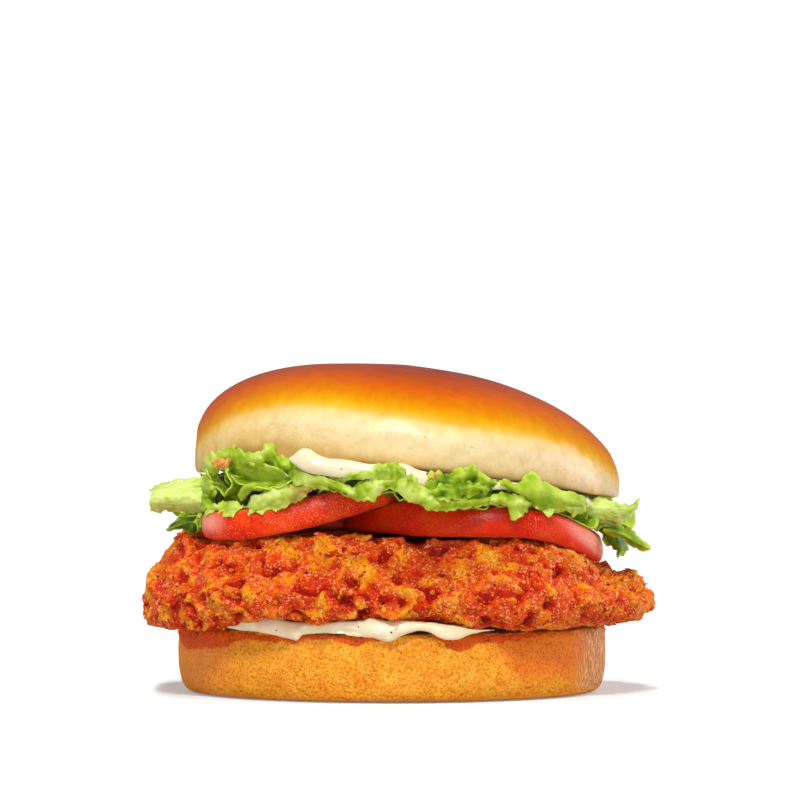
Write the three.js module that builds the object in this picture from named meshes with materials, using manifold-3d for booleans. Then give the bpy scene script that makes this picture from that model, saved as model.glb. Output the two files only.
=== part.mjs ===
// A fried chicken sandwich: a soft bun whose crown leans over a craggy fillet, two tomato
// slices, a ruffle of chopped leaf lettuce and mayonnaise on both cut faces of the bun.
// Millimetres, +Z up. The origin is the middle of the heel's flat underside, the front is -Y.
import * as THREE from "three";
import { mergeVertices } from "three/addons/utils/BufferGeometryUtils.js";
import { ImprovedNoise } from "three/addons/math/ImprovedNoise.js";
import Module from "manifold-3d";

const wasm = await Module();
wasm.setup();
const noise = new ImprovedNoise();

// ---- Driving dimensions ---------------------------------------------------------------
const GAP = 0.4; // air left between pieces that touch
const CLEARANCE = 0.3; // least air where one piece is cut back by another
const BUN_RADIUS = 52;

const HEEL = { height: 16.5, footRadius: 48.5, bulge: 0.4, topCorner: 1.6 };

const CROWN = {
  centreX: 3.4, // the crown sits a little to the right of the heel
  seat: 56.4, // height of its cut face over the heel's centre
  leanRight: 0.04, // slope of the cut face down towards +X
  leanBack: 0.012, // slope of the cut face down towards +Y
  arch: 0.00247, // how far the soft crown droops on both sides of the slices, per mm squared
  backDroop: 0.0007, // and how much more it droops behind them
  rise: 24, // thickness where it is highest
  taper: 0.0016, // share of the dome's height that is lost per mm to the right of there
  peakX: -9,
  waist: 3.2, // height of its widest line over the cut face
  underside: 7, // superellipse exponent of its lower edge
  lip: { turn: -72, halfWidth: 52, drop: 2.4, inner: 41, outer: 50 }, // its rim sags at the front
  shoulder: 2.9, // and of the dome
  leftFullness: 0.4, // added to that exponent on the left, taken off on the right
};

const FILLET = {
  left: 62.4, right: 61.5, front: 55, back: 51, // reach of its outline from the origin
  cornering: 2.5, // superellipse exponent of the outline
  underside: 19.6, top: 38.7, waist: 23.5, // heights: bottom, top, and of its widest line
  bevel: 12.5, endBevel: 9.5, tailBevel: 5, // width of its sloping top edge: front, left, right
  leftDroop: 15.4, rightDroop: 17.8, // underside of the ends that hang past the heel
  sag: 2, // how far its rim sinks towards the heel, to the left and right of the mayonnaise
  tailStart: 32, tailEnd: 62, tailTop: 28.6, // its top falls away to a thin tail on the right
  crag: 1.5, cragSize: 10, crest: 1.2, // relief of its crust, and how far crests rise over the top
};

const SLICE = { thickness: 7.8, rimBulge: 1.3 };
const RIGHT_SLICE = {
  x: 19.3, y: -14.5, radius: 31.5, seat: 38.9,
  bendStart: 29, bend: 0.0165, // to the right it bends down over the fillet's tail
  liftEnd: 10, lift: 0.05, // to the left it lifts off the fillet,
  thin: 3.1, thinEnd: -14, thinStart: 10, // and runs out thin under the left slice
};
const LEFT_SLICE = {
  x: -20.6, y: -20.5, radius: 25.8, seat: 37.3,
  rampStart: -36, ramp: 0.25, // it climbs to the right,
  sagStart: -1, sag: 0.13, // less steeply once it is on the right slice,
  tilt: 0.015, // and a little to the back
  thin: 5.2, thinStart: -14, thinEnd: 6,
};

const MAYO = { lower: 1.9, upper: 1.15, gap: 0.75 }; // thicknesses, and air towards the bun
const LEAF = { thickness: 0.9, root: 40, exit: 46, overFillet: 1.6 };
const SEGMENTS = { bun: 40, slice: 36, fillet: 80, core: 30 };
const CORE_RADIUS = 45.5; // the packed middle of the lettuce
const BRIDGE = 8; // how far it stays up past the rims of the slices, at the front

const COLOURS = {
  crown: 0xd9822b, heel: 0xe0963c, fillet: 0xc8501e, tomato: 0xcc2a1c,
  lettuce: 0x93b83c, mayonnaise: 0xf2e4c2,
};

// ---- Small helpers --------------------------------------------------------------------
const { degToRad, radToDeg, clamp, smoothstep, lerp } = THREE.MathUtils;
/** The coordinate of a superellipse with exponent n, from the cosine or sine of its angle. */
const power = (c, n) => Math.sign(c) * Math.abs(c) ** (2 / n);
/** Climbs of the rings that spread over a flat face of a superellipse with this exponent. */
const faceRings = (exponent, reaches = [0, 0.35, 0.6, 0.8, 0.93]) =>
  reaches.map((reach) => radToDeg(Math.acos(reach ** (exponent / 2))));
/** 0 below start, then a straight ramp, with the corner rounded over `soft` mm. */
const ramp = (x, start, soft = 6) => soft * Math.log1p(Math.exp((x - start) / soft));

/**
 * A closed solid round the Z axis. Each climb, in degrees from -90 underneath to 90 on top, is
 * one ring of the given number of segments; at(turn, climb) returns the point of that ring.
 */
function roundSolid(climbs, segments, at) {
  const section = climbs.map((c) => new THREE.Vector2(Math.cos(degToRad(c)), Math.sin(degToRad(c))));
  const lathe = new THREE.LatheGeometry(section, segments).rotateX(Math.PI / 2);
  const unit = welded(lathe);
  const p = unit.getAttribute("position");
  for (let i = 0; i < p.count; i++) {
    const turn = Math.atan2(p.getY(i), p.getX(i));
    const climb = Math.atan2(p.getZ(i), Math.hypot(p.getX(i), p.getY(i)));
    p.setXYZ(i, ...at(turn, climb));
  }
  return unit;
}

/** The geometry with shared vertices and without the triangles that shrink to a line. */
function welded(geometry) {
  geometry.deleteAttribute("normal");
  geometry.deleteAttribute("uv");
  const merged = mergeVertices(geometry, 1e-4);
  const index = merged.index.array, kept = [];
  for (let i = 0; i < index.length; i += 3) {
    const [a, b, c] = index.slice(i, i + 3);
    if (a !== b && b !== c && c !== a) kept.push(a, b, c);
  }
  merged.setIndex(kept);
  return merged;
}

/** The geometry moved outwards along its normals, as room round a piece. */
function grown(geometry, by) {
  const g = geometry.clone();
  g.computeVertexNormals();
  const p = g.getAttribute("position"), n = g.getAttribute("normal");
  for (let i = 0; i < p.count; i++)
    p.setXYZ(i, p.getX(i) + by * n.getX(i), p.getY(i) + by * n.getY(i), p.getZ(i) + by * n.getZ(i));
  g.deleteAttribute("normal");
  return g;
}

function toManifold(geometry) {
  return new wasm.Manifold(new wasm.Mesh({
    numProp: 3,
    vertProperties: new Float32Array(geometry.getAttribute("position").array),
    triVerts: new Uint32Array(geometry.index.array),
  }));
}

function fromManifold(solid) {
  const mesh = solid.getMesh();
  return new THREE.BufferGeometry()
    .setAttribute("position", new THREE.BufferAttribute(new Float32Array(mesh.vertProperties), 3))
    .setIndex(new THREE.BufferAttribute(new Uint32Array(mesh.triVerts), 1));
}

/** The largest body of a solid that is left clear of its neighbours. */
function cutClear(geometry, neighbours) {
  let solid = toManifold(geometry);
  for (const other of neighbours) solid = solid.subtract(toManifold(grown(other, CLEARANCE)));
  const bodies = solid.decompose().sort((a, b) => b.volume() - a.volume());
  return fromManifold(bodies[0]);
}

function piece(name, geometry, color, roughness) {
  geometry.computeVertexNormals();
  const mesh = new THREE.Mesh(geometry, new THREE.MeshStandardMaterial({ color, roughness, metalness: 0 }));
  mesh.name = name;
  return mesh;
}

// ---- Bun ------------------------------------------------------------------------------
/** Distance of the heel's side from the axis: a pan-baked disc, not quite round. */
const heelRadius = (turn) =>
  BUN_RADIUS * (1 + 0.004 * Math.cos(2 * turn + 0.6) + 0.003 * Math.cos(5 * turn + 2));

/** Half section of the heel, from the axis underneath to the axis on top. */
function heelSection(turn) {
  const r = heelRadius(turn), h = HEEL.height, foot = r - BUN_RADIUS + HEEL.footRadius;
  const c = HEEL.topCorner;
  const section = [[0, 0], [foot * 0.5, 0], [foot, 0], [foot + 1.7, 0.6], [r - 0.7, 2.2], [r, 4.6]];
  section.push([r + HEEL.bulge, h * 0.5], [r, h - c - 1.2]);
  for (const a of [0, 30, 60, 90])
    section.push([r - c + c * Math.cos(degToRad(a)), h - c + c * Math.sin(degToRad(a))]);
  section.push([foot * 0.5, h], [0, h]);
  return section;
}

function heel() {
  const rings = heelSection(0).length;
  const climbs = [...Array(rings).keys()].map((i) => -90 + (180 * i) / (rings - 1));
  return roundSolid(climbs, SEGMENTS.bun, (turn, climb) => {
    const [r, z] = heelSection(turn)[Math.round(((climb + Math.PI / 2) / Math.PI) * (rings - 1))];
    return [r * Math.cos(turn), r * Math.sin(turn), z];
  });
}

/** Height of the crown's cut face: it leans, and droops away on both sides of the slices. */
function crownSeat(x, y) {
  const { seat, leanRight, leanBack, arch, backDroop } = CROWN;
  return seat - leanRight * x - arch * x * x - leanBack * y - backDroop * Math.max(y, 0) ** 2;
}

/** How far the crown's rim hangs below its cut face. */
function crownLip(x, y) {
  const { turn, halfWidth, drop, inner, outer } = CROWN.lip;
  const rim = smoothstep(Math.hypot(x - CROWN.centreX, y), inner, outer);
  return rim * lobe(Math.atan2(y, x - CROWN.centreX), turn, halfWidth, drop);
}

/** A bump of the given height and half width, in degrees, at an angle round the bun. */
function lobe(turn, at, halfWidth, height) {
  const d = Math.atan2(Math.sin(turn - degToRad(at)), Math.cos(turn - degToRad(at)));
  return height * Math.exp(-((d / degToRad(halfWidth)) ** 2));
}

/** A point of the crown: turn goes round it, climb from underneath, past its waist, to the top. */
function crownPoint(turn, climb) {
  const dome = CROWN.shoulder - CROWN.leftFullness * Math.cos(turn);
  const r = BUN_RADIUS * (1.004 + 0.006 * Math.cos(2 * turn + 1) + 0.004 * Math.cos(3 * turn));
  const exponent = climb < 0 ? CROWN.underside : dome;
  const reach = r * power(Math.cos(climb), exponent);
  const x = CROWN.centreX + reach * Math.cos(turn), y = reach * Math.sin(turn);
  const taper = 1 - CROWN.taper * (x - CROWN.peakX);
  const span = climb < 0 ? CROWN.waist + crownLip(x, y) : (CROWN.rise - CROWN.waist) * taper;
  return [x, y, crownSeat(x, y) + CROWN.waist + span * power(Math.sin(climb), exponent)];
}

/** Climbs of the crown's rings from the middle of its cut face up to where its dome begins. */
const crownEdge = [...faceRings(CROWN.underside).map((climb) => -climb), -22, -8, 6, 18];
const crown = () => roundSolid([...crownEdge, 28, 38, 48, 58, 68, 78, 90], SEGMENTS.bun, crownPoint);

// ---- Tomato ---------------------------------------------------------------------------
/** Underside of the right slice: flat on the fillet, then bent down over its tail. */
function rightSeat(x) {
  const { seat, bend, bendStart, lift, liftEnd } = RIGHT_SLICE;
  return seat + lift * Math.max(liftEnd - x, 0) - bend * Math.max(x - bendStart, 0) ** 2;
}
const rightThickness = (x) =>
  lerp(RIGHT_SLICE.thin, SLICE.thickness, smoothstep(x, RIGHT_SLICE.thinEnd, RIGHT_SLICE.thinStart));

/** Underside of the left slice: it climbs from the fillet onto the right slice. */
function leftSeat(x, y) {
  const { seat, sag, sagStart, tilt } = LEFT_SLICE, front = LEFT_SLICE.y - LEFT_SLICE.radius;
  const climb = LEFT_SLICE.ramp * ramp(x, LEFT_SLICE.rampStart, 3.5);
  return seat + climb - sag * Math.max(x - sagStart, 0) + tilt * (y - front);
}
const leftThickness = (x) =>
  lerp(SLICE.thickness, LEFT_SLICE.thin, smoothstep(x, LEFT_SLICE.thinStart, LEFT_SLICE.thinEnd));

/** Radius of a slice's skin: tomatoes are a little lobed. */
const sliceRadius = (slice, turn) =>
  slice.radius * (1 + 0.012 * Math.cos(2 * turn + 1) + 0.008 * Math.cos(5 * turn));

function tomatoSlice(slice, seatAt, thicknessAt) {
  const rimEnd = degToRad(45);
  const climbs = [-90, -66, -45, -30, -12, 12, 30, 45, 66, 90];
  return roundSolid(climbs, SEGMENTS.slice, (turn, climb) => {
    const across = clamp(climb / rimEnd, -1, 1); // -1 on the lower cut face, 1 on the upper
    const inset = Math.min(1, (Math.PI / 2 - Math.abs(climb)) / (Math.PI / 2 - rimEnd));
    const reach = (sliceRadius(slice, turn) - SLICE.rimBulge * across * across) * inset;
    const x = slice.x + reach * Math.cos(turn), y = slice.y + reach * Math.sin(turn);
    return [x, y, seatAt(x, y) + thicknessAt(x) * (0.5 + 0.5 * across)];
  });
}

/** How far inside a slice's skin a point is, negative outside. */
function insideSlice(slice, x, y) {
  const turn = Math.atan2(y - slice.y, x - slice.x);
  return sliceRadius(slice, turn) - Math.hypot(x - slice.x, y - slice.y);
}

// ---- Fillet ---------------------------------------------------------------------------
/** Distance of the fillet's outline from the origin. */
function filletReach(turn) {
  const c = Math.cos(turn), s = Math.sin(turn), n = FILLET.cornering;
  const across = c < 0 ? FILLET.left : FILLET.right, along = s < 0 ? FILLET.front : FILLET.back;
  const oval = (Math.abs(c / across) ** n + Math.abs(s / along) ** n) ** (-1 / n);
  return oval * (1 + 0.018 * Math.sin(3 * turn + 1) + 0.014 * Math.sin(7 * turn + 2));
}

/** Smooth top of the fillet, which the slices press flat. */
function filletTop(x, y) {
  let top = lerp(FILLET.top, FILLET.tailTop, smoothstep(x, FILLET.tailStart, FILLET.tailEnd));
  if (insideSlice(RIGHT_SLICE, x, y) > -3) top = Math.min(top, rightSeat(x) - GAP - 0.2);
  if (insideSlice(LEFT_SLICE, x, y) > -3) top = Math.min(top, leftSeat(x, y) - GAP - 0.2);
  return top;
}
const underSlice = (x, y) => insideSlice(RIGHT_SLICE, x, y) > -3 || insideSlice(LEFT_SLICE, x, y) > -3;

/** Smooth underside: flat on the heel, a sagging rim, and ends that hang past the heel's edge. */
function filletUnder(x, y) {
  const from = Math.hypot(x, y), past = smoothstep(from, BUN_RADIUS + 1.8, BUN_RADIUS + 6);
  const droop = x < 0 ? FILLET.leftDroop : FILLET.rightDroop;
  const beside = smoothstep(x, 8, 24) + smoothstep(-x, 28, 40);
  const rim = FILLET.underside - FILLET.sag * beside * smoothstep(from, BUN_RADIUS - 8, BUN_RADIUS - 1);
  return lerp(rim, droop, past * smoothstep(Math.abs(x), 30, 50));
}

/** Crags of the crust, 0 in a crevice to 1 on a crest. */
function crags(x, y, z) {
  const s = FILLET.cragSize;
  const broad = 1 - Math.abs(2 * noise.noise(x / s, y / s, z / s));
  const fine = 1 - Math.abs(2 * noise.noise(x / s * 1.9 + 7, y / s * 1.9, z / s * 1.9 + 3));
  return clamp(0.65 * broad + 0.35 * fine, 0, 1);
}

/**
 * Half section of the fillet from the axis underneath to the axis on top, as the distance from
 * the axis and a height that runs from -1 at the bottom through 0 at the waist to 1 on top.
 */
function filletSection(turn) {
  const c = Math.cos(turn), reach = filletReach(turn);
  const slope = lerp(FILLET.bevel, c < 0 ? FILLET.endBevel : FILLET.tailBevel, c * c);
  const flat = reach - slope;
  const under = [[0, -1], [flat * 0.45, -1], [flat * 0.75, -1], [flat, -1], [reach - 6.5, -1]];
  const edge = [[reach - 2.8, -0.85], [reach - 0.9, -0.5], [reach, 0], [reach - 0.9, 0.18]];
  const bevel = [0.2, 0.4, 0.6, 0.8].map((t) => [reach - 1 - (slope - 1) * t, 0.16 + 0.9 * t - 0.1 * t * t]);
  const top = [1, 0.86, 0.7, 0.52, 0.3, 0].map((t) => [flat * t, 1]);
  return [...under, ...edge, ...bevel, ...top];
}

function fillet() {
  const rings = filletSection(0).length;
  const climbs = [...Array(rings).keys()].map((i) => -90 + (180 * i) / (rings - 1));
  return roundSolid(climbs, SEGMENTS.fillet, (turn, climb) => {
    const ring = Math.round(((climb + Math.PI / 2) / Math.PI) * (rings - 1));
    const [reach, level] = filletSection(turn)[ring];
    const x = reach * Math.cos(turn), y = reach * Math.sin(turn);
    const end = level < 0 ? filletUnder(x, y) : filletTop(x, y);
    const z = FILLET.waist + Math.abs(level) * (end - FILLET.waist);
    // The crust stands out from the smooth form, and less where it is pressed flat.
    const out = FILLET.crag * (2.4 * crags(x, y, z) - 1.3);
    const side = 1 - level * level, sideOut = ring > 0 && ring < rings - 1 ? out * side : 0;
    const px = x + sideOut * Math.cos(turn), py = y + sideOut * Math.sin(turn);
    const ceiling = filletTop(px, py) + (underSlice(px, py) ? 0 : FILLET.crest);
    return [px, py, clamp(z + level * out, filletUnder(px, py), Math.max(ceiling, FILLET.waist))];
  });
}

// ---- Mayonnaise -----------------------------------------------------------------------
/**
 * A smear of mayonnaise on a bun's cut face. section(turn) is the bun's half section from the
 * axis outwards, as [radius, height]; the smear follows it for reach(turn) mm, so that a long
 * reach wraps over the rim. side is 1 where the smear lies on top, -1 where it hangs below.
 */
function smear(section, reachAt, thickness, side, place) {
  const face = faceRings(5, [0, 0.35, 0.6, 0.8, 0.89, 0.95]);
  const climbs = [...face.map((climb) => -climb), -10, 10, ...face.reverse()];
  return roundSolid(climbs, SEGMENTS.bun, (turn, climb) => {
    const walked = walk(section(turn), reachAt(turn) * power(Math.cos(climb), 5));
    const edge = 0.5 + 0.5 * power(Math.sin(climb), 3) * side;
    const off = MAYO.gap + thickness * edge;
    const r = walked.r + off * walked.nr * side, z = walked.z + off * walked.nz * side;
    return place(r, turn, z);
  });
}

/** The point at a distance along a polyline from its start, with its left-hand normal. */
function walk(line, distance) {
  let left = distance;
  for (let i = 1; i < line.length; i++) {
    const dr = line[i][0] - line[i - 1][0], dz = line[i][1] - line[i - 1][1];
    const length = Math.hypot(dr, dz);
    if (left <= length || i === line.length - 1) {
      const t = left / length;
      return { r: line[i - 1][0] + dr * t, z: line[i - 1][1] + dz * t, nr: -dz / length, nz: dr / length };
    }
    left -= length;
  }
}

/** A plateau of the given height between two angles, in degrees. */
const stretch = (turn, from, to, height) =>
  height * smoothstep(radToDeg(turn), from - 8, from + 8) * (1 - smoothstep(radToDeg(turn), to - 8, to + 8));

/** The lower smear reaches the rim at the front and hangs over it in three short drips. */
const lowerReach = (turn) =>
  44 + 0.6 * Math.sin(3 * turn + 1.5) + 0.5 * Math.sin(7 * turn + 1) +
  stretch(turn, -144, -62, 7) + lobe(turn, -117, 8, 1.1) + lobe(turn, -92, 8, 1.3) + lobe(turn, -76, 7, 1) +
  stretch(turn, 55, 100, 6);

function mayonnaiseLower() {
  const section = (turn) => heelSection(turn).slice(5).reverse();
  const place = (r, turn, z) => [r * Math.cos(turn), r * Math.sin(turn), z];
  return smear(section, lowerReach, MAYO.lower, 1, place);
}

/** The upper smear shows as a blob at the front left, and as dabs at the front and the right. */
const upperReach = (turn) =>
  47 + Math.sin(2 * turn + 1) + 0.8 * Math.sin(5 * turn) +
  lobe(turn, -118, 19, 5.4) + lobe(turn, -88, 13, 3) + lobe(turn, -35, 13, 2.5) + lobe(turn, 70, 16, 3);

function mayonnaiseUpper() {
  const section = (turn) => crownEdge.map((climb) => {
    const [x, y, z] = crownPoint(turn, degToRad(climb));
    return [Math.hypot(x - CROWN.centreX, y), z - crownSeat(x, y)];
  });
  return smear(section, upperReach, MAYO.upper, -1, (r, turn, z) => {
    const x = CROWN.centreX + r * Math.cos(turn), y = r * Math.sin(turn);
    return [x, y, crownSeat(x, y) + z];
  });
}

// ---- Lettuce --------------------------------------------------------------------------
/**
 * Top of whatever lies under the lettuce. The slices carry it a little way past their rims:
 * stiff is that distance for the packed middle, while a leaf's margin can hang down after 1 mm.
 */
function lettuceFloor(x, y, stiff = 1) {
  const past = y < LEFT_SLICE.y ? -stiff : -1;
  let floor = filletTop(x, y) + LEAF.overFillet;
  if (insideSlice(RIGHT_SLICE, x, y) > past) floor = Math.max(floor, rightSeat(x) + rightThickness(x) + GAP);
  if (insideSlice(LEFT_SLICE, x, y) > past) floor = Math.max(floor, leftSeat(x, y) + leftThickness(x) + GAP);
  return floor;
}
/** Underside of the upper smear, over the lettuce. */
const lettuceCeiling = (x, y) => crownSeat(x, y) - crownLip(x, y) - MAYO.upper - 2 * GAP;

/** The packed middle of the bundle, between the slices and the crown. */
function lettuceCore() {
  const face = faceRings(6);
  return roundSolid([...face.map((c) => -c), -10, 10, ...face.reverse()], SEGMENTS.core, (turn, climb) => {
    const reach = CORE_RADIUS * power(Math.cos(climb), 6);
    const x = 1.5 + reach * Math.cos(turn), y = reach * Math.sin(turn);
    const low = lettuceFloor(x, y, BRIDGE) + 0.3, high = Math.max(lettuceCeiling(x, y) - 0.3, low + 0.4);
    return [x, y, lerp(low, high, 0.5 + 0.5 * power(Math.sin(climb), 4))];
  });
}

/**
 * One leaf, a thin wavy strip that comes out between the bun and the slices and opens into a
 * ruffle. turn: direction in degrees; width: half its length along the rim; reach: how far it
 * stands past its root; level: where it comes out, from 0 on the slices to 1 at the crown;
 * lift: how far its margin ends up or down; slant: how much lower its front half lies than its
 * back half; ruffle: height of its waves; waves: their number; phase: where they start.
 */
function leaf({ turn, width, reach, level, lift, slant = 0, ruffle, waves, phase }) {
  const centre = degToRad(turn), across = Math.round(7 * waves) + 2, along = 3;
  const ex = LEAF.exit * Math.cos(centre), ey = LEAF.exit * Math.sin(centre);
  const exit = lerp(lettuceFloor(ex, ey, BRIDGE), lettuceCeiling(ex, ey), level);
  const mid = [];
  for (let j = 0; j <= along; j++)
    for (let i = 0; i <= across; i++) {
      const u = (2 * i) / across - 1, v = j / along;
      const open = smoothstep(v, 0.2, 1) * (0.35 + 0.65 * v);
      const wave = Math.PI * waves * u + phase;
      const tip = 1 - 0.28 * Math.abs(u) ** 3 + 0.05 * Math.sin(5 * wave);
      const r = LEAF.root + reach * v * tip + 0.3 * ruffle * open * Math.sin(wave + 1.1);
      const sideways = width * u * (0.8 + 0.2 * v) + 0.35 * ruffle * open * Math.cos(wave);
      const angle = centre + sideways / LEAF.exit;
      const p = new THREE.Vector3(r * Math.cos(angle) + 1.5 * (1 - v), r * Math.sin(angle), 0);
      p.z = exit + lift * open * v + ruffle * open * Math.sin(wave);
      p.z += slant * open * u * Math.sign(Math.cos(centre));
      mid.push(keptClear(p));
    }
  return sheet(mid, across, along, LEAF.thickness);
}

/** The point moved off the crown, the upper smear, the slices and the fillet. */
function keptClear(p) {
  const room = LEAF.thickness / 2 + GAP;
  const rim = Math.hypot(p.x - CROWN.centreX, p.y), out = BUN_RADIUS + 1.6 + room;
  const ceiling = lettuceCeiling(p.x, p.y) - room;
  if (p.z > ceiling && rim < out) {
    if (rim > out - 7 && p.z > ceiling + 1.5) {
      const turn = Math.atan2(p.y, p.x - CROWN.centreX);
      p.x = CROWN.centreX + out * Math.cos(turn);
      p.y = out * Math.sin(turn);
    } else p.z = ceiling;
  }
  p.z = Math.max(p.z, lettuceFloor(p.x, p.y) + room);
  return p;
}

/** A thin closed solid round a grid of points, with both faces split into triangles alike. */
function sheet(mid, across, along, thickness) {
  const surface = new THREE.BufferGeometry().setFromPoints(mid);
  const index = [], row = across + 1, count = mid.length;
  for (let j = 0; j < along; j++)
    for (let i = 0; i < across; i++) {
      const a = j * row + i, b = a + 1, c = a + row, d = c + 1;
      index.push(a, b, d, a, d, c);
    }
  surface.setIndex(index);
  surface.computeVertexNormals();
  const normal = surface.getAttribute("normal");
  const positions = [];
  for (const side of [0.5, -0.5])
    mid.forEach((p, i) => {
      const off = side * thickness;
      positions.push(p.x + off * normal.getX(i), p.y + off * normal.getY(i), p.z + off * normal.getZ(i));
    });
  const faces = [...index];
  for (let i = 0; i < index.length; i += 3)
    faces.push(index[i] + count, index[i + 2] + count, index[i + 1] + count);
  const border = [];
  for (let i = 0; i < across; i++) border.push(i);
  for (let j = 0; j < along; j++) border.push(j * row + across);
  for (let i = across; i > 0; i--) border.push(along * row + i);
  for (let j = along; j > 0; j--) border.push(j * row);
  border.forEach((a, i) => {
    const b = border[(i + 1) % border.length];
    faces.push(a, a + count, b, b, a + count, b + count);
  });
  return new THREE.BufferGeometry()
    .setAttribute("position", new THREE.Float32BufferAttribute(positions, 3))
    .setIndex(faces);
}

const LEAVES = [
  { turn: -168, width: 9, reach: 21, level: 0.5, lift: 0.5, slant: 3.4, ruffle: 1, waves: 1, phase: 0 },
  { turn: -138, width: 16, reach: 14.5, level: 0.6, lift: 5, ruffle: 3.6, waves: 2, phase: 0.5 },
  { turn: -117, width: 12, reach: 13, level: 0.4, lift: 1, ruffle: 2.6, waves: 1.5, phase: 2 },
  { turn: -99, width: 12, reach: 13.5, level: 0.7, lift: 1, ruffle: 2.6, waves: 1.5, phase: 1 },
  { turn: -82, width: 13, reach: 13, level: 0.45, lift: 1, ruffle: 2.2, waves: 1.5, phase: 4 },
  { turn: -67, width: 12, reach: 13.5, level: 0.7, lift: 0, ruffle: 3, waves: 2, phase: 3 },
  { turn: -46, width: 15, reach: 15, level: 0.45, lift: 0, ruffle: 3, waves: 1.5, phase: 3.4 },
  { turn: -14, width: 14, reach: 21, level: 0.5, lift: -4, slant: 4, ruffle: 2, waves: 1.5, phase: 1.2 },
  { turn: 32, width: 19, reach: 15, level: 0.5, lift: -1, ruffle: 4, waves: 2, phase: 0 },
  { turn: 80, width: 20, reach: 14, level: 0.5, lift: 1, ruffle: 4.2, waves: 2, phase: 2.4 },
  { turn: 130, width: 20, reach: 14, level: 0.5, lift: 0, ruffle: 4.2, waves: 2.5, phase: 0.9 },
];

function lettuce() {
  let bundle = toManifold(lettuceCore());
  for (const shape of LEAVES) bundle = bundle.add(toManifold(leaf(shape)));
  return fromManifold(bundle);
}

// ---- The sandwich ---------------------------------------------------------------------
const heelShape = heel(), crownShape = crown();
const lowerShape = mayonnaiseLower();
const upperShape = mayonnaiseUpper();
const rightShape = tomatoSlice(RIGHT_SLICE, rightSeat, rightThickness);
const leftShape = cutClear(tomatoSlice(LEFT_SLICE, leftSeat, leftThickness), [rightShape]);
const filletShape = cutClear(fillet(), [rightShape, leftShape, lowerShape, heelShape]);
const lettuceShape = cutClear(lettuce(), [crownShape, upperShape, rightShape, leftShape, filletShape]);

const sandwich = new THREE.Group();
sandwich.add(
  piece("bun_heel", heelShape, COLOURS.heel, 0.8),
  piece("mayonnaise_lower", lowerShape, COLOURS.mayonnaise, 0.3),
  piece("chicken_fillet", filletShape, COLOURS.fillet, 0.45),
  piece("tomato_slice_right", rightShape, COLOURS.tomato, 0.2),
  piece("tomato_slice_left", leftShape, COLOURS.tomato, 0.2),
  piece("lettuce", lettuceShape, COLOURS.lettuce, 0.5),
  piece("mayonnaise_upper", upperShape, COLOURS.mayonnaise, 0.3),
  piece("bun_crown", crownShape, COLOURS.crown, 0.4),
);
export default sandwich;
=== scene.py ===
"""A fried chicken burger, dressed over its CAD frame. Lengths are in millimetres until a mesh is
made, apart from the shaders' Subsurface Scale, which is in metres. Angles round the burger are in
degrees, 0 towards +X and -90 at the front."""
import math
from itertools import product

import bmesh
import bpy
import numpy as np
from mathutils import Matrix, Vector
from mathutils.bvhtree import BVHTree


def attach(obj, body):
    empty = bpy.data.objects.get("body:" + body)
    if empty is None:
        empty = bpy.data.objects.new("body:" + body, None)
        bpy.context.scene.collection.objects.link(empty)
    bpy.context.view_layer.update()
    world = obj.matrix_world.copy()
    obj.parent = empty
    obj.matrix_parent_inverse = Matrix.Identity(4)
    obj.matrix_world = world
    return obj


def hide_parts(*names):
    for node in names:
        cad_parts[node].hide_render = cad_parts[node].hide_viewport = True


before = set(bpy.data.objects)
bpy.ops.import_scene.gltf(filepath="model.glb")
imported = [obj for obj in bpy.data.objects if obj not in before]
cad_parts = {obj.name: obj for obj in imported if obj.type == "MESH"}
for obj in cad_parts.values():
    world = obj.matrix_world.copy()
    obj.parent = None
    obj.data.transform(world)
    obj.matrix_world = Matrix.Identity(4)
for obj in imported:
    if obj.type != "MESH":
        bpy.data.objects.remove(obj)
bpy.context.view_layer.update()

MM = 0.001
ROOT = "root"
MOST_RISE = 4.0  # how far a surface may swell towards a neighbour
AXIS_X = 1.8  # middle of the leaves and the beads of sauce
# The photo's camera. It stands EYE_BACK in front of the burger's middle, at the height EYE_Z, and
# looks down to the height AIM_Z there. FOCAL and PICTURE_MIDDLE are the photo's, in pixels.
EYE_X = 1.835
EYE_BACK = 1500
EYE_Z = 94.37
AIM_Z = 71.2
LENS = 275.8
SENSOR = 36
FOCAL = 6129.8
PICTURE_MIDDLE = 400

# ---- Noise ----------------------------------------------------------------------------


def hashed(cell, salt):
    """Even random numbers from 0 to 1, one for each whole-numbered lattice cell."""
    h = cell[:, 0] * 374761393 + cell[:, 1] * 668265263 + cell[:, 2] * 914744551 + salt * 1446653
    h &= 0xFFFFFFFF
    h = ((h ^ (h >> 13)) * 1274126177) & 0xFFFFFFFF
    h = ((h ^ (h >> 16)) * 461845907) & 0xFFFFFFFF
    return ((h ^ (h >> 15)) & 0xFFFFFFFF) / 4294967296.0


def noise(p, size, salt=0):
    """Smooth gradient noise, about -1 to 1, with features of the given size."""
    q = np.asarray(p, float) / size
    cell = np.floor(q).astype(np.int64)
    f = q - cell
    ease = f * f * f * (f * (f * 6 - 15) + 10)
    total = np.zeros(len(q))
    for corner in product((0, 1), repeat=3):
        at = cell + np.array(corner)
        away = f - np.array(corner)
        slope = np.stack([hashed(at, salt + k) * 2 - 1 for k in (0, 101, 202)], 1)
        weight = np.prod(np.where(np.array(corner) == 1, ease, 1 - ease), 1)
        total += weight * (slope * away).sum(1)
    return np.clip(total * 1.6, -1, 1)


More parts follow.
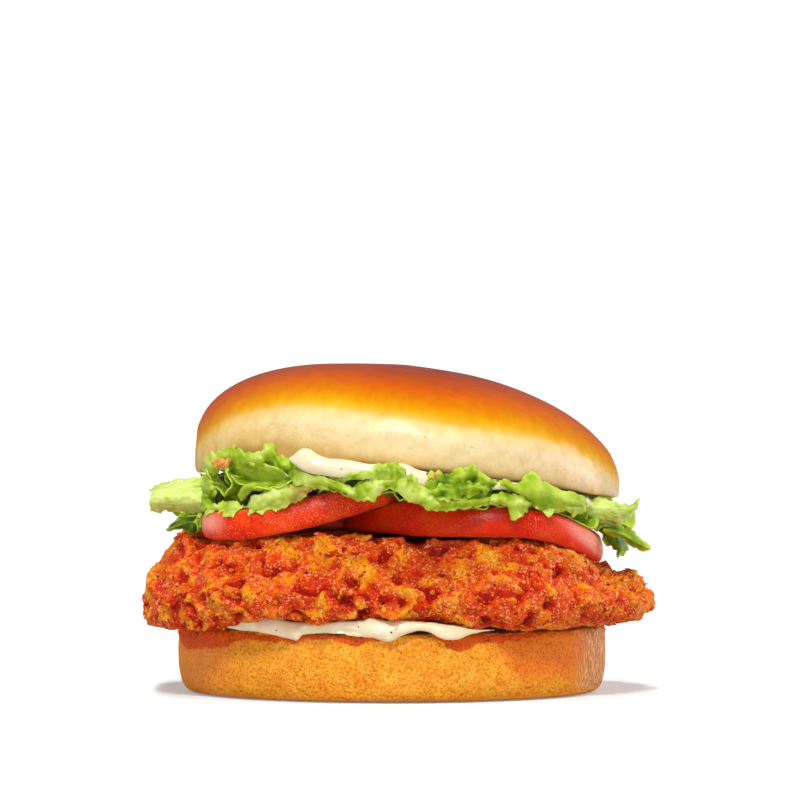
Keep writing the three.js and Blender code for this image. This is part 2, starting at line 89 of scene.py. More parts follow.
def cells(p, size, salt=0):
    """Distance to the nearest of scattered points, in units of size, and that point's own random
    number."""
    q = np.asarray(p, float) / size
    base = np.floor(q).astype(np.int64)
    nearest = np.full(len(q), 9.0)
    mark = np.zeros(len(q))
    for step in product((-1, 0, 1), repeat=3):
        at = base + np.array(step)
        point = at + np.stack([hashed(at, salt + k) for k in (11, 12, 13)], 1)
        distance = np.sqrt(((point - q) ** 2).sum(1))
        nearer = distance < nearest
        mark = np.where(nearer, hashed(at, salt + 14), mark)
        nearest = np.where(nearer, distance, nearest)
    return nearest, mark


def smoothstep(x, low, high):
    """0 below low, 1 above high, and a smooth rise between them."""
    t = np.clip((np.asarray(x, float) - low) / (high - low), 0, 1)
    return t * t * (3 - 2 * t)


def through(values, knots, t):
    """Smooth curve through values at the given knots, read at t."""
    slopes = np.gradient(values, knots, axis=0)
    i = np.clip(np.searchsorted(knots, t, side="right") - 1, 0, len(knots) - 2)
    span = (knots[i + 1] - knots[i]).reshape(-1, *[1] * (values.ndim - 1))
    u = (t - knots[i]).reshape(span.shape) / span
    a, b, slope_a, slope_b = values[i], values[i + 1], slopes[i] * span, slopes[i + 1] * span
    return (a * (2 * u**3 - 3 * u**2 + 1) + slope_a * (u**3 - 2 * u**2 + u)
            + b * (3 * u**2 - 2 * u**3) + slope_b * (u**3 - u**2))


def even(line, t):
    """Smooth curve through the points of a line, read at shares t of its length."""
    step = np.linalg.norm(np.diff(line, axis=0), axis=1)
    knots = np.concatenate([[0], np.cumsum(np.maximum(step, 1e-6))])
    return through(line, knots / knots[-1], t)


# ---- Meshes ---------------------------------------------------------------------------


def link(obj):
    """Puts a new object in the scene."""
    bpy.context.scene.collection.objects.link(obj)
    return obj


def numbers(items, name, width=3):
    """One property of all vertices or faces, as rows of numbers."""
    flat = np.empty(len(items) * width, np.float32)
    items.foreach_get(name, flat)
    return flat.reshape(-1, width).astype(float)


def positions(mesh):
    return numbers(mesh.vertices, "co") / MM


def set_positions(mesh, p):
    mesh.vertices.foreach_set("co", (p * MM).astype(np.float32).ravel())
    mesh.update()


def normals(mesh):
    return numbers(mesh.vertices, "normal")


def made(name, points, faces):
    """A new smooth-shaded object from points in millimetres and faces."""
    mesh = bpy.data.meshes.new(name)
    mesh.from_pydata((np.asarray(points, float) * MM).tolist(), [], [tuple(f) for f in faces])
    mesh.shade_smooth()
    return link(bpy.data.objects.new(name, mesh))


def baked(obj):
    """The object with its modifiers applied."""
    graph = bpy.context.evaluated_depsgraph_get()
    mesh = bpy.data.meshes.new_from_object(obj.evaluated_get(graph))
    obj.modifiers.clear()
    obj.data = mesh
    mesh.shade_smooth()
    return obj


def paint(obj, **values):
    """Values on the points, for the materials to read."""
    for name, value in values.items():
        layer = obj.data.attributes.new(name, "FLOAT", "POINT")
        layer.data.foreach_set("value", np.asarray(value, np.float32))


def welded(node):
    """The mesh of a CAD node, open for editing, with its double points merged."""
    bm = bmesh.new()
    bm.from_mesh(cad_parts[node].data)
    bmesh.ops.remove_doubles(bm, verts=bm.verts, dist=0.02 * MM)
    return bm


def closed(bm, name):
    """A new object from an edited mesh."""
    mesh = bpy.data.meshes.new(name)
    bm.to_mesh(mesh)
    bm.free()
    return link(bpy.data.objects.new(name, mesh))


def rounded(node, name):
    """A smooth version of a node that was made of rings."""
    bm = welded(node)
    limit = math.radians(60)
    bmesh.ops.join_triangles(bm, faces=bm.faces, angle_face_threshold=limit, angle_shape_threshold=limit)
    obj = closed(bm, name)
    obj.modifiers.new("round", "SUBSURF").levels = 3
    return baked(obj)


def remeshed(obj, voxel, smoothing):
    """The object as an even mesh, with its edges softened."""
    remesh = obj.modifiers.new("even", "REMESH")
    remesh.mode = "VOXEL"
    remesh.voxel_size = voxel * MM
    smooth = obj.modifiers.new("soften", "SMOOTH")
    smooth.factor = 0.5
    smooth.iterations = smoothing
    return baked(obj)


def thinned(obj, hidden, ratio):
    """The object with fewer triangles at its hidden points."""
    group = obj.vertex_groups.new(name="hidden")
    for i in np.flatnonzero(hidden):
        group.add([int(i)], 1.0, "REPLACE")
    decimate = obj.modifiers.new("thin", "DECIMATE")
    decimate.ratio = ratio
    decimate.vertex_group = "hidden"
    baked(obj)
    obj.vertex_groups.clear()
    return obj


def tree(obj):
    """A piece's surface, in millimetres, to measure and aim at."""
    return BVHTree.FromPolygons(positions(obj.data).tolist(),
                                [tuple(f.vertices) for f in obj.data.polygons])


def within(v, bvh):
    """Whether a point lies inside a closed piece: what is above it faces away from it."""
    normal = bvh.ray_cast(v, Vector((0, 0, 1)))[1]
    return normal is not None and normal.z > 0


def kept_clear(p, trees, room):
    """The points moved out of the given pieces, to at least room from their surfaces."""
    p = p.copy()
    for i, point in enumerate(p):
        v = Vector(point)
        for bvh in trees:
            spot, normal, _, distance = bvh.find_nearest(v)
            away = v - spot
            if away.dot(normal) < 0 and within(v, bvh):
                v = spot + normal * room
            elif distance < room:
                v = spot + (away.normalized() if away.dot(normal) > 0 else normal) * room
        p[i] = v
    return p


def free_room(p, trees, most):
    """How far each point may move before it meets one of the given pieces."""
    room = np.full(len(p), float(most))
    for i, point in enumerate(p):
        v = Vector(point)
        for bvh in trees:
            distance = bvh.find_nearest(v, most)[3]
            if distance is not None:
                room[i] = min(room[i], distance)
    return room


def finished(obj, node, material):
    """Dresses a piece, hangs it on the root and hides the CAD node, if any, that it stands for."""
    obj.data.materials.clear()
    obj.data.materials.append(material)
    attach(obj, ROOT)
    if node:
        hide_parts(node)
    return obj


def scattered(name, host, count, size, seed, where, stretch=(1, 1, 0.6), sink=0.2, rough=0.25, detail=1):
    """Small lumps set on a piece. size: (least, most) radius; where: chance at each face, from
    its centre and normal; stretch: their shape, its last value out of the face; sink: how deep
    they sit, in radii; rough: how uneven they are; detail: how finely they are made."""
    rng = np.random.default_rng(seed)
    bm = bmesh.new()
    bmesh.ops.create_icosphere(bm, subdivisions=detail, radius=1)
    ball = np.array([v.co for v in bm.verts])
    ball_faces = np.array([[v.index for v in f.verts] for f in bm.faces])
    bm.free()
    polygons = host.data.polygons
    centre, normal = numbers(polygons, "center") / MM, numbers(polygons, "normal")
    chance = numbers(polygons, "area", 1)[:, 0] * where(centre, normal)
    pick = rng.choice(len(polygons), count, p=chance / chance.sum())
    radius = size[0] + (size[1] - size[0]) * rng.random(count) ** 2
    # A turned frame on each chosen face, its third axis along the normal.
    up = normal[pick]
    side = np.cross(up, rng.normal(size=(count, 3)))
    side /= np.linalg.norm(side, axis=1, keepdims=True)
    turned = np.stack([side, np.cross(up, side), up], 1)
    scale = radius[:, None] * np.array(stretch) * rng.uniform(0.7, 1.3, (count, 3))
    lumps = ball[None] * (1 + rough * rng.normal(size=(count, len(ball), 1)))
    points = np.einsum("nvk,nkj->nvj", lumps * scale[:, None], turned)
    points += (centre[pick] - up * (sink * scale[:, 2:]))[:, None]
    faces = (ball_faces[None] + len(ball) * np.arange(count)[:, None, None]).reshape(-1, 3)
    obj = made(name, points.reshape(-1, 3), faces)
    paint(obj, mark=np.repeat(rng.random(count), len(ball)))
    return obj


# ---- Materials ------------------------------------------------------------------------


def colour(rgb):
    """Linear RGBA from an 8-bit sRGB colour."""
    def linear(c):
        c /= 255
        return c / 12.92 if c <= 0.04045 else ((c + 0.055) / 1.055) ** 2.4
    return (*[linear(c) for c in rgb], 1.0)


class Surface:
    """A Principled material, with short calls for the nodes that feed it. Sizes of textures are
    in millimetres. Sockets are given by name, with _ for a space."""

    def __init__(self, name, **sockets):
        self.material = bpy.data.materials.new(name)
        self.material.use_nodes = True
        self.tree = self.material.node_tree
        self.shader = self.tree.nodes["Principled BSDF"]
        self.where = self.tree.nodes.new("ShaderNodeTexCoord").outputs["Object"]
        for socket, value in sockets.items():
            self.shader.inputs[socket.replace("_", " ")].default_value = value

    def node(self, kind, **settings):
        made_node = self.tree.nodes.new("ShaderNode" + kind)
        for key, value in settings.items():
            setattr(made_node, key, value)
        return made_node

    def feed(self, socket, value):
        if isinstance(value, bpy.types.NodeSocket):
            self.tree.links.new(value, socket)
        else:
            socket.default_value = value

    def read(self, name):
        return self.node("Attribute", attribute_name=name).outputs["Fac"]

    def stretched(self, x, y, z):
        mapping = self.node("Mapping")
        self.feed(mapping.inputs["Vector"], self.where)
        mapping.inputs["Scale"].default_value = (x, y, z)
        return mapping.outputs["Vector"]

    def noise(self, size, detail=2.0, roughness=0.5, where=None):
        texture = self.node("TexNoise")
        self.feed(texture.inputs["Vector"], where or self.where)
        texture.inputs["Scale"].default_value = 1 / (size * MM)
        texture.inputs["Detail"].default_value = detail
        texture.inputs["Roughness"].default_value = roughness
        return texture.outputs["Fac"]

    def cells(self, size, feature="F1"):
        texture = self.node("TexVoronoi", feature=feature)
        self.feed(texture.inputs["Vector"], self.where)
        texture.inputs["Scale"].default_value = 1 / (size * MM)
        return texture.outputs["Distance"]

    def ramp(self, value, stops):
        """stops: (position, 8-bit colour) or (position, number)."""
        node = self.node("ValToRGB")
        self.feed(node.inputs["Fac"], value)
        elements = node.color_ramp.elements
        while len(elements) < len(stops):
            elements.new(0.5)
        for element, (position, tone) in zip(elements, stops):
            element.position = position
            element.color = colour(tone) if isinstance(tone, tuple) else (tone, tone, tone, 1)
        return node.outputs["Color"]

    def mix(self, share, a, b, blend="MIX"):
        node = self.node("Mix", data_type="RGBA", blend_type=blend)
        for socket, value in ((node.inputs["Factor"], share), (node.inputs[6], a), (node.inputs[7], b)):
            self.feed(socket, colour(value) if isinstance(value, tuple) else value)
        return node.outputs[2]

    def math(self, operation, a, b=0.0):
        node = self.node("Math", operation=operation)
        self.feed(node.inputs[0], a)
        self.feed(node.inputs[1], b)
        return node.outputs[0]

    def swayed(self, value, by, amount):
        """value with a texture added, amount up or down."""
        return self.math("ADD", value, self.math("MULTIPLY", self.math("SUBTRACT", by, 0.5), amount * 2))

    def bump(self, height, strength, depth, below=None):
        """A bump, depth in millimetres, on top of another bump if one is given."""
        node = self.node("Bump")
        self.feed(node.inputs["Height"], height)
        node.inputs["Strength"].default_value = strength
        node.inputs["Distance"].default_value = depth * MM
        if below is not None:
            self.feed(node.inputs["Normal"], below)
        return node.outputs["Normal"]

    def finish(self, base=None, roughness=None, normal=None):
        for socket, value in (("Base Color", base), ("Roughness", roughness), ("Normal", normal)):
            if value is not None:
                self.feed(self.shader.inputs[socket], value)
        if normal is not None:
            self.feed(self.shader.inputs["Coat Normal"], normal)
        return self.material


# ---- Bun ------------------------------------------------------------------------------


def seat_of(obj):
    """Height of a piece's lower face as a function of x and y, fitted to the face."""
    p, n = positions(obj.data), normals(obj.data)
    low = p[n[:, 2] < -0.9]

    def terms(x, y):
        return np.stack([np.ones_like(x), x, y, x * x, y * y], 1)
    fit = np.linalg.lstsq(terms(low[:, 0], low[:, 1]), low[:, 2], rcond=None)[0]
    return lambda x, y: terms(x, y) @ fit


def crown_crust():
    """Pale at the side, then through gold to a glazed brown, as bake rises from 0 to 1."""
    s = Surface("bun_crown_crust", Coat_Weight=0.22, Coat_Roughness=0.22, Specular_IOR_Level=0.035,
                Subsurface_Weight=0.05, Subsurface_Scale=0.003)
    bake = s.swayed(s.read("bake"), s.noise(9, 3, 0.6), 0.035)
    bake = s.swayed(bake, s.noise(2.2, 3, 0.6), 0.012)
    crust = s.ramp(bake, [
        (0.00, (222, 184, 112)), (0.12, (240, 214, 154)), (0.34, (247, 229, 180)), (0.455, (246, 216, 142)),
        (0.515, (238, 190, 60)), (0.58, (232, 166, 6)), (0.68, (224, 130, 0)), (0.80, (216, 96, 0)),
        (0.90, (194, 75, 2)), (1.00, (166, 55, 2))])
    mottle = s.ramp(s.noise(3.2, 4, 0.6), [(0.35, (234, 222, 208)), (0.65, (255, 255, 255))])
    base = s.mix(0.6, crust, mottle, "MULTIPLY")
    # Painted shade: the left end darker and yellower, the right end a little darker.
    base = s.mix(s.read("warm"), base, s.mix(1.0, base, (248, 226, 172), "MULTIPLY"))
    base = s.mix(s.read("dull"), base, s.mix(1.0, base, (242, 230, 236), "MULTIPLY"))
    flecks = s.ramp(s.cells(5.0), [(0.05, 1.0), (0.085, 0.0)])
    base = s.mix(s.math("MULTIPLY", flecks, 0.5), base, (196, 140, 80))
    rough = s.ramp(bake, [(0.3, 0.55), (0.55, 0.38), (1.0, 0.28)])
    skin = s.bump(s.noise(1.3, 3, 0.6), 0.18, 0.25)
    soft = s.math("MULTIPLY", s.ramp(s.noise(2.6, 3, 0.55), [(0.38, 0.0), (0.5, 1.0)]),
                  s.ramp(bake, [(0.40, 1.0), (0.50, 0.0)]))
    return s.finish(base, rough, s.bump(soft, 0.15, 0.30, skin))


# Where the browning starts, in millimetres over the crown's underside, from left to right.
BROWNED_X = (-49, -46, -41, -30, -13, 3, 19, 36, 49, 54)
BROWNED_FROM = np.polyfit(BROWNED_X, (5.5, 8.8, 12.0, 13.8, 13.1, 11.9, 10.9, 9.9, 7.6, 5.0), 4)


def bun_crown():
    """The crown, dented at the side, with the paint that places its browned cap."""
    obj = rounded("bun_crown", "bun_crown_baked")
    seat = seat_of(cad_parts["bun_crown"])
    p, n = positions(obj.data), normals(obj.data)
    height = p[:, 2] - seat(p[:, 0], p[:, 1])
    # Shallow dents and a few pits in the soft pale side, none on the glazed top.
    side = 1 - smoothstep(height, 9, 15)
    dents = 0.26 * noise(p * (1, 1, 1.6), 9, 3) + 0.14 * noise(p, 4, 5)
    pits = -0.28 * (1 - smoothstep(cells(p, 8, 21)[0], 0.02, 0.14))
    p += n * (side * (dents + pits) + 0.14 * noise(p, 22, 8))[:, None]
    set_positions(obj.data, p)
    # The browned cap reaches lower at the left and right ends.
    over = height - np.polyval(BROWNED_FROM, np.clip(p[:, 0], BROWNED_X[0], BROWNED_X[-1]))
    tone = 0.49 + over * (0.043 + 0.010 * smoothstep(-p[:, 0], 8, 34))
    under = smoothstep(-n[:, 2], 0.5, 0.9)
    # The last two values paint shade on the crown's left and right ends.
    paint(obj, bake=np.clip(tone * (1 - under) + 0.10 * under, 0, 1),
          warm=0.9 * smoothstep(-p[:, 0], 16, 44), dull=smoothstep(p[:, 0], 18, 46))
    return finished(obj, "bun_crown", crown_crust())


def heel_crust():
    """A golden side with a browned rim under painted shadow, flanks in painted shade, a redder
    foot lifted with painted light, and a pale streaked end with a painted highlight.
    """
    s = Surface("bun_heel_crust", Specular_IOR_Level=0.09, Subsurface_Weight=0.04,
                Subsurface_Scale=0.002)
    tone = s.ramp(s.noise(5, 4, 0.62), [(0.3, (242, 152, 30)), (0.5, (250, 172, 44)), (0.7, (255, 188, 60))])
    grain = s.ramp(s.noise(0.6, 3, 0.75),
                   [(0.38, (198, 116, 64)), (0.5, (250, 236, 216)), (0.62, (255, 255, 255))])
    base = s.mix(0.7, tone, grain, "MULTIPLY")
    base = s.mix(s.ramp(s.noise(0.5, 2), [(0.56, 0.0), (0.68, 0.4)]), base, (255, 214, 112))
    # Painted shade on the flanks: the fillet's shadow on the right one, shade on the left end.
    toasted = s.mix(0.6, s.mix(s.read("flank"), (240, 126, 34), (255, 158, 64)), grain, "MULTIPLY")
    base = s.mix(s.swayed(s.read("toast"), s.noise(3, 3, 0.6), 0.25), base, toasted)
    # The band at the top: browned crust, darkened further with painted shadow under the fillet.
    dark = s.mix(0.8, (230, 86, 18), grain, "MULTIPLY")
    ragged = s.swayed(s.read("rim"), s.noise(1.6, 4, 0.7), 0.55)
    base = s.mix(s.ramp(ragged, [(0.36, 0.0), (0.70, 0.9)]), base, dark)
    # The foot: a redder crust, lifted with painted light where it curves down.
    base = s.mix(s.read("foot"), base, (255, 140, 56))
    # Painted shade in the pores.
    base = s.mix(s.math("MULTIPLY", s.read("pore"), 0.45), base, (170, 70, 10))
    base = s.mix(s.read("crumb"), base, (238, 196, 128))
    # The pale right end: a streaked strip painted as the highlight of the right side light.
    dusty = s.noise(0.8, 3, 0.7, s.stretched(1.7, 1.7, 0.40))
    streaks = s.ramp(dusty, [(0.38, (178, 100, 50)), (0.50, (212, 146, 92)), (0.62, (250, 212, 168))])
    base = s.mix(s.math("MULTIPLY", s.read("pale"), 0.85), base, streaks)
    pores = s.bump(s.cells(0.75, "SMOOTH_F1"), 0.8, 0.42)
    fine = s.bump(s.noise(0.4, 3, 0.6), 0.6, 0.18, pores)
    return s.finish(base, s.ramp(s.noise(1.5, 2), [(0.3, 0.55), (0.7, 0.75)]), fine)


# How low the band at the top of the heel reaches, by x, seen from the front: browned crust
# darkened with painted shadow under the fillet and the sauce.
BAND = [
    (-50, 11.2), (-44, 11.6), (-38.6, 12.7), (-36.5, 14.4), (-34.8, 14.8), (-32.3, 14.4), (-28.9, 14.2),
    (-25.5, 14.4), (-23, 14.0), (-21.3, 15.0), (-18.8, 15.0), (-16.2, 14.6), (-13.7, 15.0), (-11.2, 14.0),
    (-8.6, 13.5), (-6.1, 14.0), (-4, 14.6), (-1.9, 15.3), (2, 16.3), (3.7, 17.2), (7.1, 17.0), (9.6, 16.1),
    (12.1, 14.4), (13.8, 12.8), (15.5, 11.8), (17.2, 12.4), (18.9, 13.4), (20.6, 14.1), (23.1, 14.2),
    (26, 14.0), (29, 14.6), (33.2, 15.0), (37.4, 15.8), (42, 16.6), (50, 16.8),
]


def bun_heel():
    """The heel, with pores in its side and crumb on its cut face, and the paint for its crust."""
    obj = rounded("bun_heel", "bun_heel_baked")
    p, n = positions(obj.data), normals(obj.data)
    top = p[:, 2].max()
    radius = np.hypot(p[:, 0], p[:, 1])
    turn = np.degrees(np.arctan2(p[:, 1], p[:, 0]))
    side = smoothstep(np.hypot(n[:, 0], n[:, 1]), 0.3, 0.8) * smoothstep(p[:, 2], 0.8, 2.5)
    cut = smoothstep(n[:, 2], 0.7, 0.95)
    # Pores in the side, flatter than they are wide, and larger near the foot.
    uneven = 0.3 * np.stack([noise(p, 1.2, 38 + k) for k in range(3)], 1)
    nearest, mark = cells(p * (1, 1, 1.3) + uneven, 1.35, 31)
    size = 0.10 + 0.36 * mark**2 * (0.6 + 0.8 * (1 - smoothstep(p[:, 2], 1.5, 5.0)))
    pore = 1 - smoothstep(nearest / size, 0.3, 1.0)
    swell = 0.40 * noise(p, 14, 33) + 0.14 * noise(p, 3.5, 34)
    crumb = -0.7 * (1 - smoothstep(cells(p, 2.4, 35)[0], 0.15, 0.5)) + 0.2 * noise(p, 1.6, 36)
    lip = 0.8 * smoothstep(p[:, 2], top - 4.0, top - 1.5) * noise(p * (1, 1, 0.7), 2.2, 37)
    p += n * (side * (-0.42 * pore + swell + lip) + cut * crumb * 0.7)[:, None]
    set_positions(obj.data, p)
    # The band follows the photo at the front, and wanders behind.
    front = smoothstep(-p[:, 1], 2, 16)
    behind = top - 3.1 + 2.0 * noise(p * (1, 1, 0), 9, 39)
    band = front * np.interp(p[:, 0], *zip(*BAND)) + (1 - front) * behind
    # Its flanks get painted shade: on the right one the fillet's painted shadow, from a
    # slanted edge on.
    slanted = smoothstep(p[:, 0] - 24.8 - 0.6 * (13 - p[:, 2]), -1.2, 2.0) * smoothstep(p[:, 2], 2.5, 8)
    paint(
        obj,
        # The browned band, darkened with painted shadow.
        rim=smoothstep(p[:, 2] + 0.8 * noise(p * (1, 1, 0.5), 2.4, 40), band - 0.8, band + 0.9) * side,
        # Painted shade on the flanks.
        toast=0.85 * side * front * np.maximum(slanted, smoothstep(-p[:, 0], 35, 46)),
        flank=smoothstep(-p[:, 0], 20, 40),
        # Painted light on the foot, which curves down.
        foot=0.7 * (1 - smoothstep(p[:, 2], 0.1, 1.4)),
        crumb=cut * (1 - smoothstep(radius, 49, 51)),
        # Painted shade in the pores.
        pore=pore * side,
        # A painted highlight on the right end.
        pale=side * smoothstep(turn, -36, -22) * (1 - smoothstep(turn, 8, 30)),
    )
    return finished(obj, "bun_heel", heel_crust())


# ---- Fillet ---------------------------------------------------------------------------


def breading():
    """Dark red in the hollows, partly painted shade, orange on the crests and golden in patches,
    with fine painted highlights that sparkle.
    """
    s = Surface("fried_breading", Coat_Weight=0.20, Coat_Roughness=0.24, Specular_IOR_Level=0.035,
                Subsurface_Weight=0.05, Subsurface_Scale=0.001, Subsurface_Radius=(1.0, 0.35, 0.12))
    height = s.swayed(s.read("crest"), s.noise(0.9, 3, 0.65), 0.30)
    # Darker red lower down: the bare hollows' own colour, deepened with painted shade.
    crust = s.ramp(height, [
        (0.05, (126, 4, 0)), (0.24, (176, 18, 0)), (0.42, (214, 44, 0)), (0.58, (232, 76, 0)),
        (0.76, (242, 108, 2)), (1.00, (250, 146, 16))])
    golden = s.ramp(s.swayed(s.read("gold"), s.noise(1.0, 3, 0.6), 0.25), [(0.24, 0.0), (0.68, 0.95)])
    base = s.mix(golden, crust, (254, 156, 0))
    grains = s.noise(0.42, 2, 0.6)
    # Painted shade in the fine crevices between the grains.
    base = s.mix(s.ramp(grains, [(0.30, 0.65), (0.44, 0.0)]), base, (150, 18, 0))
    # Painted highlights: fine sparkle, mostly on the crests.
    glints = s.math("MULTIPLY", s.ramp(s.noise(0.56, 1), [(0.58, 0.0), (0.66, 0.95)]),
                    s.ramp(s.swayed(s.read("crest"), s.noise(3.2, 2), 0.6), [(0.36, 0.0), (0.62, 1.0)]))
    base = s.mix(glints, base, s.mix(golden, (255, 176, 132), (255, 206, 116)))
    lumps = s.bump(s.cells(0.9, "SMOOTH_F1"), 0.8, -0.6)
    fine = s.bump(grains, 1.0, 0.6, lumps)
    return s.finish(base, 0.5, fine)


FILLET_VOXEL = 0.45
FILLET_HALF = (60, 54)
FILLET_GAP = 0.12  # left between the crust and its neighbours


def hidden_middle(p):
    """Whether a point of the fillet lies under the slices or on its underside's middle."""
    return (p[:, 0] / FILLET_HALF[0]) ** 2 + (p[:, 1] / FILLET_HALF[1]) ** 2 < 0.62


def crag_height(p):
    """How far the crust stands out, in millimetres, and where it is golden or a bare hollow."""
    warp = np.stack([noise(p, 5, 41 + k) for k in range(3)], 1)
    q = p + 1.5 * warp
    swell = noise(p, 10, 60)
    ridge = np.clip(1 - 2.2 * np.abs(noise(q, 7.0, 57)), 0, 1)
    ridge *= smoothstep(noise(p, 9, 58), -0.35, 0.2)
    hollow = smoothstep(noise(q, 4.8, 59), 0.10, 0.42) * (1 - ridge)
    nearest, small = cells(q, 2.5, 51)
    lumps = (0.62 - nearest) + 0.6 * (small - 0.5)
    nearest, tiny = cells(p + 0.5 * warp[:, ::-1], 1.3, 54)
    grains = (0.55 - nearest) + 0.5 * (tiny - 0.5)
    bare = 1 - 0.75 * hollow
    height = 0.6 * swell + 1.4 * ridge + 0.85 * lumps * bare + 0.5 * grains * bare - 1.45 * hollow
    patch = smoothstep(noise(q, 5.5, 61) + 0.35 * (small - 0.5), -0.15, 0.35)
    gold = np.clip(0.75 * ridge + 0.35, 0, 1) * patch * (1 - hollow)
    return height - 0.15, gold, hollow


# How far the fillet's lower edge stands over its place in CAD, by x, at the front.
CURL = [(-40, 0), (-33, 1.1), (-22, 0.7), (-17.5, -0.7), (-13, 0.8), (-9, 1.3), (-4, 1.0),
        (0.5, -0.3), (5, 0.8), (10, 1.2), (14, 0.5), (20, 0)]


def chicken_fillet(neighbours):
    """The fillet with its crust raised wherever the neighbours leave it room."""
    obj = remeshed(closed(welded("chicken_fillet"), "chicken_fillet_fried"), FILLET_VOXEL, 8)
    p, n = positions(obj.data), normals(obj.data)
    thinned(obj, hidden_middle(p) & (np.abs(n[:, 2]) > 0.7), 0.55)
    p, n = positions(obj.data), normals(obj.data)
    height, gold, hollow = crag_height(p)
    height *= 1 - 0.4 * smoothstep(-p[:, 0], 40, 50)
    room = free_room(p, [tree(o) for o in neighbours], MOST_RISE) - FILLET_GAP
    under = smoothstep(-n[:, 2], 0.6, 0.95)
    out = np.minimum(height * (1 - 0.5 * under), room)
    p += n * out[:, None]
    # Its lower edge curls up over the mayonnaise, between lobes that hang down in front of it.
    edge = smoothstep(np.hypot(p[:, 0], p[:, 1]), 48, 53) * (1 - smoothstep(p[:, 2], 19, 25))
    edge *= smoothstep(-p[:, 1], 30, 42)
    curl = np.interp(p[:, 0], *zip(*CURL))
    p[:, 2] += edge * curl
    over_sauce = smoothstep(p[:, 0], -36, -30) * smoothstep(-p[:, 0], -12, -4)
    p[:, 1] -= 0.9 * edge * over_sauce * smoothstep(-curl, -0.6, 0.4)
    # Its ends droop, and the left one reaches out a little.
    top = smoothstep(n[:, 2], -0.1, 0.5)
    p[:, 2] -= 2.6 * top * smoothstep(p[:, 0], 47, 51) * (1 - smoothstep(p[:, 0], 55, 60))
    p[:, 2] -= 1.3 * top * smoothstep(-p[:, 0], 42, 48)
    p[:, 2] += 0.8 * (1 - top) * smoothstep(-p[:, 0], 40, 47) * (1 - smoothstep(p[:, 2], 22, 28))
    p[:, 0] -= 0.7 * smoothstep(-p[:, 0], 50, 60) * smoothstep(p[:, 2], 22, 30)
    set_positions(obj.data, p)
    n = normals(obj.data)
    fine = (0.30 * (0.5 - cells(p, 0.95, 71)[0]) + 0.15 * noise(p, 0.9, 72)) * (1 - 0.5 * hollow)
    p += n * np.minimum(fine, np.maximum(room - out, 0))[:, None]
    set_positions(obj.data, p)
    # How high the crust stands; the material paints it darker red lower down, partly painted shade.
    crest = np.clip(0.55 + 0.26 * (height + 1.6 * fine), 0, 1)
    paint(obj, crest=crest, gold=gold)
    return finished(obj, "chicken_fillet", breading())


def loose_breading(fillet):
    """Crisp scraps of crust and specks of black pepper on the fillet. Returns the pepper."""
    def showing(centre, normal):
        return ~hidden_middle(centre) * (0.25 + smoothstep(noise(centre, 6, 75), -0.3, 0.5))

    few = 1.0
    for name, count, size, stretch, sink, detail in (
            ("breading_flakes", 420, (0.6, 1.9), (1.4, 0.8, 0.5), 0.45, 2),
            ("breading_lumps", 1500, (0.35, 0.85), (1.1, 0.9, 0.7), 0.30, 2),
            ("breading_grains", 4800, (0.16, 0.52), (1.0, 0.9, 0.8), 0.15, 1)):
        scraps = scattered(name, fillet, int(few * count), size, 76, showing, stretch, sink, 0.2, detail)
        mark = np.empty(len(scraps.data.vertices))
        scraps.data.attributes["mark"].data.foreach_get("value", mark)
        paint(scraps, crest=0.40 + 0.45 * mark, gold=0.6 * smoothstep(mark, 0.45, 0.95))
        finished(scraps, None, fillet.data.materials[0])
    pepper = Surface("black_pepper", Base_Color=colour((52, 20, 8)), Roughness=0.5, Specular_IOR_Level=0)
    specks = scattered("pepper_specks", fillet, 240, (0.22, 0.46), 77, showing, sink=-0.3, rough=0.2)
    finished(specks, None, pepper.material)
    return pepper.material


# ---- Tomato ---------------------------------------------------------------------------
SLICE_GAP = 0.15


def tomato_skin():
    """Clouded red skin with a painted sparkle of fine drops, a painted highlight where the sheen
    is, and the cut flesh.
    """
    s = Surface("tomato_slice", Coat_Weight=0.08, Coat_Roughness=0.18, Roughness=0.4,
                Specular_IOR_Level=0.07, Subsurface_Weight=0.30, Subsurface_Scale=0.0045,
                Subsurface_Radius=(1.0, 0.25, 0.12))
    cloud = s.ramp(s.noise(6, 4, 0.6), [(0.3, (218, 33, 2)), (0.5, (244, 62, 8)), (0.72, (253, 94, 18))])
    streak = s.ramp(s.noise(1.0, 3, 0.6), [(0.35, (226, 186, 176)), (0.6, (255, 255, 255))])
    skin = s.mix(0.5, cloud, streak, "MULTIPLY")
    # Painted highlights: a sparkle of fine drops over the skin, in patches.
    grain = s.ramp(s.cells(0.44), [(0.12, 1.0), (0.32, 0.0)])
    misted = s.math("MULTIPLY", grain, s.ramp(s.noise(7, 2), [(0.40, 0.25), (0.54, 1.0)]))
    skin = s.mix(misted, skin, s.mix(s.read("ripe"), (255, 176, 126), (250, 146, 88)))
    # The right slice is painted a deeper red than the left.
    skin = s.mix(s.read("ripe"), skin, s.mix(0.6, skin, (196, 16, 4)))
    # A painted highlight on the end that hangs out towards a side light.
    wet = s.math("MULTIPLY", s.read("sheen"), s.ramp(s.cells(0.5), [(0.14, 1.0), (0.44, 0.50)]))
    skin = s.mix(wet, skin, (252, 196, 170))
    flesh = s.ramp(s.swayed(s.read("chamber"), s.noise(2, 3), 0.12),
                   [(0.20, (224, 92, 62)), (0.50, (206, 54, 34)), (0.80, (214, 112, 44))])
    base = s.mix(s.read("cut"), skin, flesh)
    base = s.mix(s.read("edge"), base, (240, 110, 84))
    fine = s.bump(s.cells(0.42, "SMOOTH_F1"), 0.45, -0.2)
    wave = s.bump(s.noise(3.5, 2, 0.5), 0.10, 0.6, fine)
    return s.finish(base, None, wave)


